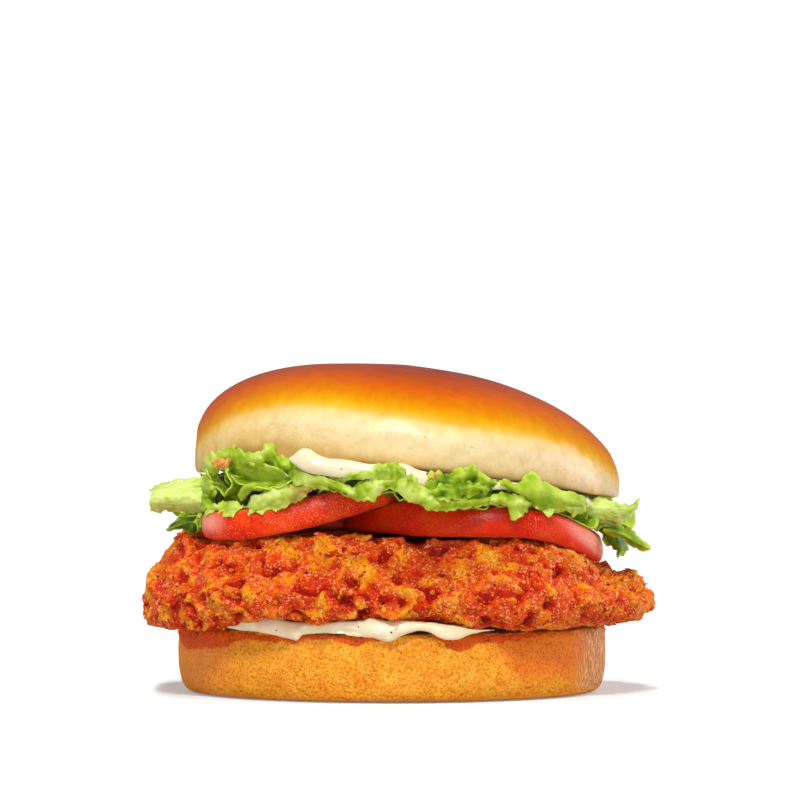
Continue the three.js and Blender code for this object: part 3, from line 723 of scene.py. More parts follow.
def tomato_slice(node, side, material, above=None):
    """A slice; side is -1 or 1, for the end that hangs out and catches the light."""
    obj = rounded(node, node + "_ripe")
    p, n = positions(obj.data), normals(obj.data)
    low, high = p.min(0), p.max(0)
    centre = (low + high) / 2
    reach = (high - low)[1] / 2
    radius = np.hypot(p[:, 0] - centre[0], p[:, 1] - centre[1]) / reach
    turn = np.arctan2(p[:, 1] - centre[1], p[:, 0] - centre[0])
    rim = smoothstep(radius, 0.90, 0.97)
    p += n * (0.22 * noise(p, 11, 81) + 0.07 * noise(p, 3, 82))[:, None]
    if above:
        # Its flesh swells up against the slice that lies on it.
        room = free_room(p, [tree(above)], MOST_RISE) - SLICE_GAP
        swollen = smoothstep(n[:, 2], -0.2, 0.5) * smoothstep(-p[:, 0], -16, -4)
        p[:, 2] += np.minimum(2.2 * swollen, np.maximum(room, 0))
    set_positions(obj.data, p)
    # Seed chambers between the ribs of the flesh, on both cut faces.
    ribs = 0.5 + 0.5 * np.cos(5 * turn + 0.6 * noise(p, 12, 83))
    chamber = smoothstep(radius, 0.25, 0.4) * (1 - smoothstep(radius, 0.72, 0.84))
    flat = smoothstep(np.abs(n[:, 2]), 0.75, 0.95)
    paint(
        obj,
        # Which slice this is: 0.1 on the left, 0.9 on the right.
        ripe=np.full(len(p), 0.5 + 0.4 * side),
        cut=flat * (1 - rim * 0.5),
        chamber=chamber * smoothstep(ribs, 0.3, 0.75),
        edge=0.3 * rim * smoothstep(n[:, 2], 0.35, 0.8),
        # A painted highlight on the end that faces a side light.
        sheen=0.85 * smoothstep(side * n[:, 0], 0.68, 0.95) * smoothstep(n[:, 2], -0.5, 0.1),
    )
    return finished(obj, node, material)


def tomato_dew(slices):
    """Fine beads of juice on the skins."""
    juice = Surface("tomato_juice", Base_Color=colour((232, 96, 66)), Roughness=0.06, Coat_Weight=0.6,
                    Coat_Roughness=0.03)
    for k, host in enumerate(slices):
        def rim_only(centre, normal, salt=84 + k):
            side = smoothstep(np.abs(normal[:, 2]), 0.75, 0.35)
            return side * (0.03 + smoothstep(noise(centre, 12, salt), 0.0, 0.45))
        beads = scattered(host.name + "_beads", host, 1000, (0.07, 0.19), 85 + k,
                          rim_only, stretch=(1, 1, 0.55), sink=0.1, rough=0.03)
        finished(beads, None, juice.material)


# ---- Mayonnaise -----------------------------------------------------------------------
# The bead of sauce at each smear's front edge: x, underside and top, seen from the front.
UPPER_BEAD = [
    (-24.7, 57.5, 58.2), (-23.2, 56.4, 59.3), (-21.3, 55.2, 60.6), (-19.3, 54.6, 60.4), (-18.0, 54.4, 59.4),
    (-15.7, 54.0, 58.3), (-12.6, 53.6, 58.1), (-9.0, 53.4, 57.5), (-4.8, 53.2, 56.9), (-1.5, 52.8, 57.0),
    (1.8, 52.4, 57.3), (4.2, 52.0, 56.6), (6.1, 51.4, 55.6), (8.5, 51.0, 54.8), (10.4, 50.8, 53.6),
    (13, 50.4, 53.0), (18, 51.0, 53.2), (24, 50.6, 52.9), (28, 50.2, 52.6), (33, 49.2, 51.6),
    (38, 47.8, 50.2), (42, 46.7, 49.1), (45.5, 45.8, 48.5), (48, 45.6, 47.6),
]
LOWER_BEAD = [
    (-41.5, 17.2, 17.8), (-38.8, 16.9, 18.4), (-36.4, 16.7, 19.4), (-34.5, 16.5, 20.2), (-30.7, 16.4, 20.1),
    (-27.0, 15.8, 19.9), (-24.2, 15.0, 19.6), (-22.6, 14.6, 19.4), (-21.1, 16.4, 19.4), (-19.0, 17.5, 19.2),
    (-15.9, 17.6, 19.3), (-12.3, 17.6, 19.8), (-8.8, 17.4, 20.0), (-5.2, 16.2, 20.2), (-2.4, 15.2, 20.0),
    (-0.1, 14.9, 20.0), (2.3, 16.2, 20.0), (5.4, 17.5, 19.9), (8.4, 17.2, 19.6), (11.3, 15.8, 19.2),
    (13.6, 15.0, 18.8), (16.0, 15.5, 18.3), (18.4, 16.4, 17.9), (21.7, 16.9, 17.8), (24.6, 17.2, 17.7),
]


def mayonnaise():
    s = Surface("mayonnaise", Roughness=0.3, Coat_Weight=0.12, Coat_Roughness=0.14,
                Specular_IOR_Level=0.3, Subsurface_Weight=0.15, Subsurface_Scale=0.0015)
    tone = s.ramp(s.noise(4, 3), [(0.3, (238, 220, 174)), (0.7, (250, 238, 206))])
    return s.finish(tone, None, s.bump(s.noise(2.2, 2), 0.25, 0.5))


# How far from the middle of the burger each bead lies, by x.
UPPER_REACH = ((-24, 55.2), (-9, 54.0), (2, 52.4), (48, 52.2))
LOWER_REACH = ((0, 53.2),)
SAUCE_VOXEL = 0.42
SAUCE_GAP = 0.08
BEAD_STEPS = 160  # places along a bead
BEAD_SIDES = 24  # points round it


def bead(rows, reach, depth):
    """A tube of sauce along the rim, closed at its ends: points and faces. reach: its radius
    round the burger at some of the x places."""
    x, low, high = even(np.array(rows, float), np.linspace(0, 1, BEAD_STEPS)).T
    radius = np.interp(x, *zip(*reach))[:, None]
    turn = np.linspace(0, 2 * math.pi, BEAD_SIDES, endpoint=False)
    tall = (high - low) / 2
    out = radius + np.minimum(depth, 0.75 * tall)[:, None] * np.cos(turn)
    z = ((high + low) / 2)[:, None] + tall[:, None] * np.sin(turn)
    y = -np.sqrt(out**2 - (x - AXIS_X)[:, None] ** 2)
    points = np.stack([np.broadcast_to(x[:, None], y.shape), y, z], 2).reshape(-1, 3)
    faces = []
    for start in range(0, (BEAD_STEPS - 1) * BEAD_SIDES, BEAD_SIDES):
        for k in range(BEAD_SIDES):
            beside = start + (k + 1) % BEAD_SIDES
            faces.append((start + k, beside, beside + BEAD_SIDES, start + k + BEAD_SIDES))
    last = (BEAD_STEPS - 1) * BEAD_SIDES
    return points, faces + [range(BEAD_SIDES)[::-1], range(last, last + BEAD_SIDES)]


def smear(node, material, rows, reach, depth, salt, trees):
    """The CAD smear with the bead at its front, run together and pressed between its neighbours."""
    bm = welded(node)
    points, faces = bead(rows, reach, depth)
    verts = [bm.verts.new(Vector(point) * MM) for point in points]
    tube = [bm.faces.new([verts[k] for k in face]) for face in faces]
    bmesh.ops.recalc_face_normals(bm, faces=tube)
    obj = remeshed(closed(bm, node + "_spread"), SAUCE_VOXEL, 5)
    p, n = positions(obj.data), normals(obj.data)
    p += n * (0.38 * noise(p, 5, salt) + 0.12 * noise(p, 2.2, salt + 1))[:, None]
    set_positions(obj.data, kept_clear(p, trees, SAUCE_GAP))
    return finished(obj, node, material)


# ---- Lettuce --------------------------------------------------------------------------
RING = 52.0  # radius of the bundle
LEAST_DEPTH = 12.0  # the ring's ends stay this far in front of the middle
LEAF_PITCH = 0.30
LEAST_ISLAND = 120  # smaller pieces of a leaf are left out
CORE_VOXEL = 0.9
CORE_REACH = 47.5
CORE_GAP = 0.15
LEAF_GAP = 0.12
MOST_PUSH = 3.5  # what would have to move further than this to come clear is left out
FRONT_THICKNESS = 0.34
ROUND_THICKNESS = 0.38
# The leaves that show at the front, read off the photo. A row is how far it stands out
# from the ring (or, on a flat leaf that sticks out sideways, its y), then its points in pixels.
# tone: how dark the first and last rows are, mostly painted shade where a leaf lies under or
# behind others, and the entries named shade are dark sheets standing in for shadow; ruffle:
# height and size of the waves; rib and brown: how streaked and how browned the leaf is.
FRONT_LEAVES = [
    # Pale rib flap, left.
    dict(tone=(0.04, 0.08), ruffle=(0.35, 6), rib=1, flat=True, rows=[
        (-16, (149, 488), (160, 484), (170, 480.6), (182, 478.5), (195, 477), (209, 476)),
        (-20, (151, 493), (161, 491), (171, 490), (183, 489), (196, 489), (211, 489)),
        (-21, (149, 503), (160, 502), (172, 502), (185, 502), (197, 503), (211, 504)),
        (-16, (152, 511), (162, 511.5), (173, 511.5), (186, 512.5), (198, 514), (211, 517)),
    ]),
    # Dark scrap, left.
    dict(tone=(0.55, 0.72), ruffle=(0.6, 3), flat=True, rows=[
        (-13, (167.4, 531.5), (172, 525.5), (177, 519.6), (178, 515.5), (188, 512), (200, 511), (210, 511)),
        (-16, (167.4, 531.5), (173, 528), (180, 524), (184, 523), (191, 523), (199, 521), (209, 519)),
        (-14, (167.4, 531.8), (173, 529.5), (180, 527.5), (186, 529.5), (193, 534.5), (199, 530),
         (208, 526)),
    ]),
    # Upright frill, left.
    dict(tone=(0.25, 0.4), ruffle=(0.9, 3.2), rows=[
        (-1.5, (207, 472), (201.4, 483), (199, 499.7), (198, 511.3), (203, 517)),
        (1.6, (211, 470), (207, 484), (205, 499), (205, 510), (208, 519)),
        (-0.5, (218, 470), (218, 485), (214, 499), (215, 510), (214, 519)),
    ]),
    # Shaded inside, left.
    dict(tone=(0.62, 0.6), ruffle=(0.6, 4), rows=[
        (-5, (212, 468), (226, 474), (240, 478), (256, 480)),
        (-5, (210, 505), (228, 508), (246, 506), (262, 498)),
    ]),
    # Top frill, left.
    dict(tone=(0.3, 0.45), ruffle=(1.5, 3.4), rows=[
        (1.2, (202, 470), (204, 460), (212, 456), (219.6, 452), (226, 446), (231, 445), (236, 450),
         (243, 452), (252, 452), (258, 450), (262.7, 444.9), (272.7, 444.5), (277.6, 454.9), (291, 456.5),
         (297, 463)),
        (2.6, (205, 472), (210, 464), (217, 462), (223, 460), (229, 456), (235, 456), (240, 459), (247, 461),
         (254, 460), (260, 458), (266, 455), (273, 454), (279, 462), (289, 465), (298, 470)),
        (1, (208, 478), (214, 474), (221, 472), (227, 470), (233, 468), (238, 468), (244, 470), (250, 471),
         (256, 470), (262, 468), (268, 467), (275, 468), (282, 473), (290, 476), (299, 480)),
    ]),
    # Scoop, left.
    dict(tone=(0.3, 0.42), ruffle=(0.35, 5), rows=[
        (2.2, (226, 461), (240, 463), (252, 462), (264, 463), (276, 467), (291, 474)),
        (-1.5, (225, 469), (238, 474), (252, 477), (266, 477), (280, 476), (294, 477)),
        (-0.5, (228, 474), (240, 480), (254, 484), (269, 484), (284, 481), (295, 479)),
        (2.4, (231, 478), (243, 485), (256, 488.5), (272, 489), (287, 485), (297, 481)),
    ]),
    # Rolled rim, left.
    dict(tone=(0.55, 0.3), ruffle=(0.2, 4), rows=[
        (1.5, (238, 500), (239, 492), (244, 486), (254, 484), (267, 485)),
        (3, (241, 501), (242.5, 493.5), (248, 488.5), (256, 487), (267, 487)),
        (1.2, (246, 503), (247, 496.5), (253, 492), (261, 490), (269, 489)),
    ]),
    # Shade under the rolled rim.
    dict(tone=(1, 1), ruffle=(0.3, 4), rows=[
        (-3, (240, 488), (252, 487), (266, 486)),
        (-3, (240, 508), (252, 506), (264, 498)),
    ]),
    # Low frill, left.
    dict(tone=(0.35, 0.25), ruffle=(1.3, 2.8), rows=[
        (0.2, (204, 503), (214, 504), (224, 501), (235, 502), (246, 504)),
        (2.2, (204, 509), (213, 510), (223, 508), (233, 510), (246, 510)),
        (1.2, (203, 514.6), (213, 518), (222, 516), (231, 519), (239, 518), (247, 515)),
    ]),
    # Pale strip, left.
    dict(tone=(0.1, 0.2), ruffle=(0.55, 3.6), rib=0.5, brown=1, rows=[
        (1, (243, 508), (250, 500), (256, 496), (264, 491.5), (272.7, 488), (281, 486), (289.3, 484),
         (298, 482), (306, 481), (317, 484)),
        (2.6, (244, 511), (250, 507), (257, 504), (264, 500), (272, 497), (280, 496), (288, 494), (297, 492),
         (305, 489), (316, 488)),
        (1.4, (246.1, 514.6), (250, 518), (256, 518.7), (262.7, 514.6), (267.7, 510), (276, 511.3),
         (281, 509.6), (290, 505), (299, 500), (313, 492)),
    ]),
    # Tongue.
    dict(tone=(0.2, 0.35), ruffle=(0.7, 3.6), rows=[
        (2, (293, 461), (301, 460), (310.8, 461.5), (318, 465), (322.4, 470), (327.4, 478), (337, 482),
         (348, 487), (362, 492)),
        (3, (291, 470), (299, 471), (308, 472), (316, 475), (322, 479), (328, 484), (337, 488), (347, 492),
         (363, 497)),
        (1.2, (289, 481), (296, 484), (306, 486.5), (316, 488), (326, 490), (336, 491.5), (345.6, 493),
         (355.6, 498.5), (369, 502)),
    ]),
    # Fold strip, middle.
    dict(tone=(0.25, 0.4), ruffle=(0.5, 3), rows=[
        (2.4, (337, 475), (348, 472), (360, 470.5), (372.2, 469), (380, 466), (386, 464), (393, 463),
         (398, 466)),
        (3, (338, 479), (349, 476), (361, 474), (372, 473), (380, 472), (387, 471), (394, 471), (400, 472)),
        (1.6, (340, 483), (352, 480), (362, 478), (371, 477), (379, 478), (386, 479), (393, 481),
         (401, 480)),
    ]),
    # Shade, middle.
    dict(tone=(1, 1), ruffle=(0.4, 4), rows=[
        (-3, (328, 472), (345, 470), (362, 469), (380, 468)),
        (-3, (332, 492), (347, 492), (364, 490), (382, 486)),
    ]),
    # Low leaf, middle.
    dict(tone=(0.25, 0.35), ruffle=(0.7, 3), rows=[
        (1, (346, 488), (357, 484), (366, 480), (375.5, 477), (385, 475), (395, 474), (403, 476)),
        (2.6, (350, 492), (359, 490), (368, 488), (377, 485), (386, 482), (395, 481), (403, 485)),
        (1.2, (351, 494), (356, 499), (364, 500.5), (372.2, 502), (378, 496), (388, 490), (404, 495)),
    ]),
    # Smooth leaf, middle.
    dict(tone=(0.2, 0.4), ruffle=(0.3, 4), rows=[
        (0.8, (394, 464), (404, 470), (412, 475), (424, 483), (434, 491), (445, 495), (460, 497), (475, 497),
         (492, 496)),
        (2.6, (392, 474), (402, 482), (413, 490), (425, 498), (434, 502), (446, 503), (460, 502.5),
         (475, 501), (492, 500)),
        (1.4, (390, 484), (400, 495.4), (408, 500.5), (415.8, 504.5), (424, 508), (431.3, 510.8),
         (445, 510.4), (458.9, 509), (474, 507.5), (492, 506)),
    ]),
    # Fold tip, middle.
    dict(tone=(0.35, 0.3), ruffle=(0.3, 3), rows=[
        (2.4, (384, 465), (390, 462), (397, 465.5), (402, 474)),
        (3.2, (385, 473), (391, 471), (397, 473), (403, 478)),
        (2.2, (386, 481), (392, 483), (398, 482), (404, 484)),
    ]),
    # Frill cluster, upper.
    dict(tone=(0.35, 0.6), ruffle=(1.5, 3), rows=[
        (1.6, (422, 487), (427.9, 477), (436.5, 473), (446.8, 475), (452, 472), (458.9, 470), (464, 467),
         (470, 465.5), (479.5, 470), (485, 477), (494, 479)),
        (3, (426, 490), (433, 484), (441, 481), (449, 481), (456, 479), (462, 477), (469, 475), (475, 475),
         (482, 478), (488, 482), (496, 484)),
        (1.4, (430, 494), (438, 491), (446, 490), (454, 489), (462, 487), (470, 486), (477, 486), (484, 487),
         (490, 488), (498, 490)),
    ]),
    # Frill cluster, middle.
    dict(tone=(0.45, 0.55), ruffle=(1.2, 2.8), rows=[
        (2.4, (427, 489), (438, 485), (447, 483), (456, 481), (466, 482), (476, 485), (489, 487)),
        (3.8, (428, 493), (439, 492), (450, 491), (460, 489), (469, 488), (478, 488), (489, 490)),
        (2.2, (430, 498), (440, 500.5), (452, 501), (462, 499), (470, 495), (478, 492), (489, 493)),
    ]),
    # Frill cluster, lower.
    dict(tone=(0.62, 0.72), ruffle=(0.9, 3), rows=[
        (0.5, (428, 496), (445, 494), (460, 494), (478, 493), (494, 491)),
        (1, (431, 505.5), (446, 505), (460, 504.5), (476, 503.5), (494, 502)),
    ]),
    # Hooked fringe.
    dict(tone=(0.3, 0.18), ruffle=(0.8, 2.6), rows=[
        (1.6, (490, 492), (500, 493), (510.5, 494), (519.2, 495), (532, 499)),
        (3.4, (491, 500), (499, 499), (509, 500), (518, 502), (532, 503)),
        (2.6, (493, 509), (500, 505), (507, 507), (511, 518), (517, 517), (523, 513), (534, 508)),
    ]),
    # Shade behind the big leaf.
    dict(tone=(0.95, 1), ruffle=(0.5, 3), rows=[
        (-1.5, (484, 478), (500, 478), (515, 482), (530, 486)),
        (-1.5, (488, 496), (502, 496), (514, 498), (530, 501)),
    ]),
    # Big smooth leaf.
    dict(tone=(0.28, 0.4), ruffle=(0.45, 4.4), rows=[
        (1.6, (494, 480), (506, 480.5), (519, 482.5), (525, 476.5), (531.2, 472.5), (537, 475.5),
         (542, 479.5), (552, 486.5), (562, 490), (573, 493), (585, 499)),
        (3.8, (499, 483), (510, 485), (521, 488), (528, 488), (534, 487), (540, 489), (547, 491.5),
         (556, 495), (565, 497.5), (575, 500), (585, 504)),
        (3.4, (505, 487), (514, 490), (523, 494), (530, 498), (536, 500), (543, 502), (550, 503.5),
         (557, 503.5), (565, 503.5), (574, 505), (583, 508)),
        (1.6, (510, 489), (517, 493.5), (526, 498), (532.9, 505), (539.8, 510), (546, 511), (551.9, 511.2),
         (558, 511), (563, 509.5), (569, 508), (578, 510)),
    ]),
    # Frill drops, right.
    dict(tone=(0.4, 0.3), ruffle=(0.8, 2.4), rows=[
        (1.2, (536, 503), (545, 503), (553, 504), (563, 501), (573, 498), (585, 499)),
        (2.6, (539, 508), (545, 509), (552, 508), (563, 507), (573, 507), (586, 508)),
        (2.2, (541, 512), (545.5, 516), (552, 512), (564, 511), (571, 517), (585, 514)),
    ]),
    # Pale leaf, right.
    dict(tone=(0.2, 0.3), ruffle=(0.4, 5), rib=1, flat=True, rows=[
        (-22, (577, 500), (586, 497.5), (594, 498.5), (603, 499.5), (611, 500.6), (619, 502.5), (626, 504.9),
         (633, 503.8), (639, 497.5)),
        (-25, (578, 506), (586, 505), (594, 506), (603, 507), (611, 509), (618, 511), (625, 512),
         (631, 509.5), (638.5, 502)),
        (-23, (579, 512), (586, 514), (593, 517), (603, 520), (611, 521.5), (617, 522.5), (623, 518.5),
         (629, 515), (637.5, 506)),
        (-17, (580, 517), (587, 520.5), (594, 524), (603.5, 528), (613, 529.5), (620, 530), (623, 521.5),
         (629, 519.8), (637, 509.5)),
    ]),
    # Strip, right.
    dict(tone=(0.4, 0.5), ruffle=(0.3, 4), flat=True, rows=[
        (-18, (602, 526), (614, 526.5), (624.2, 527.7), (634.5, 532.8), (643, 541), (650, 548.4)),
        (-21, (603, 530), (614, 531), (623, 534), (633, 540), (642, 545), (650, 549)),
        (-18, (604, 534), (613, 535.5), (620, 537.5), (626, 541.5), (636, 547.5), (650, 549.8)),
    ]),
    # Dark lobes, right.
    dict(tone=(0.62, 0.72), ruffle=(0.8, 3), flat=True, rows=[
        (-13, (600, 526), (603, 534), (606, 543.5), (614.5, 548.8), (619, 555.7)),
        (-16, (607, 527), (612, 535), (616, 543), (621, 550), (620, 556)),
        (-13, (615, 529), (622.5, 536.8), (627.5, 542), (628.5, 549), (621.5, 556)),
    ]),
]
# Ruffled leaves round the sides and back: turn, width, root and tip (radius, height), ruffle
# (height, waves), how dark.
ROUND_LEAVES = [
    (-172, 24, (40, 47), (54, 46), (2.2, 2.6), 0.40), (-158, 22, (40, 45), (53, 42), (2.4, 2.8), 0.60),
    (-150, 24, (40, 49), (53, 52), (2.4, 2.6), 0.45), (-138, 24, (38, 50), (50, 54), (2.2, 2.6), 0.65),
    (-120, 26, (38, 51), (50, 54), (2.0, 2.6), 0.75), (-100, 26, (38, 50), (50, 52), (2.0, 2.6), 0.75),
    (-80, 26, (38, 49), (50, 50), (2.0, 2.6), 0.75), (-60, 26, (38, 47), (50, 48), (2.0, 2.6), 0.75),
    (-42, 24, (38, 45), (50, 45), (1.4, 2.6), 0.60), (-26, 22, (40, 43), (53, 42), (1.4, 2.4), 0.45),
    (-10, 26, (40, 44), (56, 42), (2.6, 2.8), 0.45), (-2, 24, (40, 44), (53, 43), (1.8, 2.8), 0.30),
    (12, 30, (40, 43), (56, 40), (2.6, 3.0), 0.55), (22, 30, (40, 45), (53, 46), (2.4, 3.0), 0.30),
    (36, 30, (40, 44), (55, 42), (2.8, 3.4), 0.50), (50, 30, (40, 47), (54, 49), (2.6, 3.0), 0.35),
    (62, 32, (40, 45), (55, 44), (3.0, 3.2), 0.50), (78, 32, (40, 49), (54, 53), (3.0, 3.2), 0.25),
    (92, 32, (40, 46), (55, 45), (3.0, 3.4), 0.50), (106, 32, (40, 50), (54, 55), (3.0, 3.2), 0.30),
    (120, 30, (40, 46), (55, 45), (2.8, 3.4), 0.55), (134, 30, (40, 50), (54, 54), (3.0, 3.0), 0.30),
    (148, 30, (40, 46), (55, 44), (3.0, 3.2), 0.50), (162, 28, (40, 47), (53, 46), (2.2, 2.8), 0.35),
    (176, 26, (40, 45), (54, 43), (2.2, 2.8), 0.50),
]


def leaf_surface():
    """From pale to dark green, the darker greens largely painted shade, with pale margins partly
    painted highlight, streaked ribs, brown stains and a red tint on the core under the slices.
    """
    s = Surface("lettuce_leaf", Roughness=0.42, Coat_Weight=0.04, Coat_Roughness=0.12,
                Specular_IOR_Level=0.20, Subsurface_Weight=0.20, Subsurface_Scale=0.001,
                Subsurface_Radius=(0.7, 1.0, 0.25))
    # Darkness: the leaf's own green, with painted shade under other leaves and in folds.
    shade = s.swayed(s.read("deep"), s.noise(4, 3, 0.6), 0.28)
    base = s.ramp(shade, [
        (0.00, (206, 224, 116)), (0.20, (184, 206, 66)), (0.42, (154, 182, 26)), (0.64, (112, 146, 16)),
        (0.85, (66, 100, 16)), (1.00, (40, 58, 14))])
    streaks = s.ramp(s.noise(0.7, 2, 0.5, s.stretched(0.12, 1.0, 1.0)), [(0.40, 0.0), (0.60, 0.55)])
    base = s.mix(s.math("MULTIPLY", s.read("rib"), streaks), base, (222, 234, 160))
    # Pale margins: partly the leaf's own paler edge, partly a painted highlight along it.
    base = s.mix(s.math("MULTIPLY", s.read("margin"), 0.65), base, (206, 228, 88))
    base = s.mix(s.read("brown"), base, (166, 118, 56))
    # A red tint on the core, where it shows in the gap under the slices.
    base = s.mix(s.read("juice"), base, (224, 60, 40))
    blisters = s.bump(s.noise(1.8, 4, 0.62), 0.55, 0.55)
    return s.finish(base, None, s.bump(s.noise(0.5, 2), 0.25, 0.12, blisters))


def grid_faces(across, along):
    """The faces of a grid of points, row by row."""
    row = across + 1
    return [(j * row + i, j * row + i + 1, (j + 1) * row + i + 1, (j + 1) * row + i)
            for j in range(along) for i in range(across)]


def read_off(pixel, out, flat):
    """x and z, to a tenth of a millimetre, of what the photo shows at a pixel: a point that
    stands out from the ring, or that has y = out if it is flat."""
    y = out if flat else -RING
    for _ in range(6):
        x = EYE_X + (pixel[0] - PICTURE_MIDDLE) * (EYE_BACK + y) / FOCAL
        if not flat:
            y = -math.sqrt(max((RING + out) ** 2 - (x - AXIS_X) ** 2, LEAST_DEPTH**2))
    down = (EYE_Z - AIM_Z) / EYE_BACK + (pixel[1] - PICTURE_MIDDLE) / FOCAL
    return round(x, 1), round(EYE_Z - down * (EYE_BACK + y), 1)


def front_leaf(seed, rows, tone, ruffle, flat=False, rib=0, brown=0):
    """A leaf through the rows of its points: points, faces and what the material reads."""
    lines = [np.array([read_off(pixel, out, flat) for pixel in pixels]) for out, *pixels in rows]
    length = max(np.linalg.norm(np.diff(line, axis=0), axis=1).sum() for line in lines)
    middle = [even(line, np.array([0.5]))[0] for line in lines]
    height = sum(math.dist(a, b) for a, b in zip(middle, middle[1:]))
    across, along = max(int(length / LEAF_PITCH), 12), max(int(height / LEAF_PITCH), 8)
    t, s = np.linspace(0, 1, across + 1), np.linspace(0, 1, along + 1)
    curves = np.stack([np.column_stack([even(line, t), np.full(across + 1, float(row[0]))])
                       for line, row in zip(lines, rows)])
    knots = np.linspace(0, 1, len(rows))
    x, z, out = through(curves, knots, s).reshape(-1, 3).T.copy()
    tt, ss = (a.ravel() for a in np.meshgrid(t, s))
    edge = np.abs(2 * ss - 1) ** 1.5
    ends = np.minimum(tt, 1 - tt) * length
    if not flat:
        # The leaf narrows towards its ends.
        level = through(curves, knots, np.array([0.5]))[0]
        near = 0.7 * (1 - smoothstep(ends, 0, min(0.45 * height, 3.0))) ** 1.5
        x += near * (np.tile(level[:, 0], along + 1) - x)
        z += near * (np.tile(level[:, 1], along + 1) - z)
    # Waves, higher towards the margins.
    tall, size = ruffle
    place = np.stack([x, z, np.full_like(x, 9.1 * seed)], 1)
    salts = range(11 * seed, 11 * seed + 3)
    wave = [noise(place, size, salt) + 0.5 * noise(place, size / 2.1, salt + 5) for salt in salts]
    sway = tall * (0.35 + 0.65 * edge)
    out += 1.9 * sway * wave[0]
    x += 0.5 * sway * wave[1]
    z += 0.5 * sway * wave[2]
    # Small curls and nicks along the margins, and a crumpled face.
    curl = smoothstep(edge, 0.35, 1.0) * (0.4 + 0.6 * min(tall, 1.0))
    out += 1.7 * curl * noise(place, 1.6, 200 + seed) + 0.45 * noise(place, 1.3, 210 + seed)
    teeth = 0.25 + 0.75 * min(tall, 1.0)
    z += 1.1 * curl * noise(place, 1.5, 300 + seed) + teeth * curl * noise(place, 0.9, 320 + seed)
    x += 0.9 * curl * noise(place, 1.4, 310 + seed)
    if flat:
        y = out
    else:
        out -= 1.6 * (1 - smoothstep(ends, 0, 3.0))
        y = -np.sqrt(np.maximum((RING + out) ** 2 - (x - AXIS_X) ** 2, LEAST_DEPTH**2))
    # Darkness: the leaf's tone, with painted shade where the waves sink in.
    deep = tone[0] + (tone[1] - tone[0]) * ss + 0.10 * wave[1] - 0.36 * np.clip(wave[0], -1, 1)
    # Closeness to the margin, which the material paints pale, partly as a painted highlight.
    margin = 1 - smoothstep(np.minimum(np.minimum(ss, 1 - ss) * height, ends), 0.1, 0.8)
    patch = smoothstep(tt, 0.55, 0.8) * smoothstep(0.6 - np.abs(ss - 0.5), 0.1, 0.4)
    values = dict(deep=deep, margin=margin, rib=np.full_like(x, rib), brown=brown * 0.65 * patch)
    return np.stack([x, y, z], 1), grid_faces(across, along), values


def round_leaf(turn, width, root, tip, ruffle, tone, seed):
    """A ruffled leaf growing out of the bundle: points, faces and what the material reads."""
    fine = 1.0
    across, along = int(width * 2.6 * fine), int(26 * fine)
    u, v = (a.ravel() for a in np.meshgrid(np.linspace(-1, 1, across + 1), np.linspace(0, 1, along + 1)))
    line = np.stack([u * width / 2, np.zeros_like(u), np.full_like(u, seed * 13.7)], 1)
    reach = v * (1 - 0.32 * np.abs(u) ** 4 + 0.14 * noise(line, 6, seed) + 0.06 * noise(line, 1.8, seed))
    strength = np.clip(0.85 + 0.75 * noise(line, 7, seed + 9), 0.2, 1.7)
    phase = math.pi * ruffle[1] * (u + 0.34 * noise(line, 7, seed + 3)) + seed
    big = ruffle[0] * v**1.4 * strength
    mid = 0.45 * ruffle[0] * v**2.4 * strength
    small = 0.20 * ruffle[0] * v**3.6
    r = root[0] + (tip[0] - root[0]) * reach
    z = root[1] + (tip[1] - root[1]) * reach * smoothstep(v, 0.2, 1.0)
    z += big * np.sin(phase) + mid * np.sin(2.3 * phase + 1.3 * seed) + small * np.sin(5.3 * phase + seed)
    r += 0.5 * big * np.sin(phase + 1.2) + 0.7 * mid * np.cos(2.3 * phase + seed)
    r += small * np.cos(5.3 * phase)
    rim = u * width / 2 + 0.6 * big * np.cos(phase) + 0.8 * mid * np.cos(2.3 * phase + 1.3 * seed + 0.4)
    angle = math.radians(turn) + rim / 48
    points = np.stack([AXIS_X + r * np.cos(angle), r * np.sin(angle), z], 1)
    points += 0.35 * np.stack([noise(points, 3, seed + k) for k in (5, 6, 7)], 1)
    # Darkness: the leaf's tone, darker towards the root, with painted shade in the folds.
    deep = tone + 0.20 * (0.6 - v) + 0.16 * np.sin(phase + 2.6) * v
    # Closeness to the tip, which the material paints pale, partly as a painted highlight.
    margin = 1 - smoothstep((1 - v) * (tip[0] - root[0]), 0.1, 0.9)
    return points, grid_faces(across, along), dict(deep=deep, margin=margin, rib=0 * u, brown=0 * u)


def covered(p, trees):
    """Which points lie right under one of the given pieces."""
    up = Vector((0, 0, 1))
    return np.array([any(bvh.ray_cast(Vector(point), up, 12)[0] for bvh in trees) for point in p])


def without_scraps(bm, least):
    """Deletes loose points and the islands of faces smaller than the least number of points."""
    seen, scraps = set(), []
    for start in bm.verts:
        if start in seen:
            continue
        island, queue = [start], [start]
        seen.add(start)
        while queue:
            for edge in queue.pop().link_edges:
                for v in edge.verts:
                    if v not in seen:
                        seen.add(v)
                        island.append(v)
                        queue.append(v)
        if len(island) < least:
            scraps += island
    bmesh.ops.delete(bm, geom=scraps, context="VERTS")


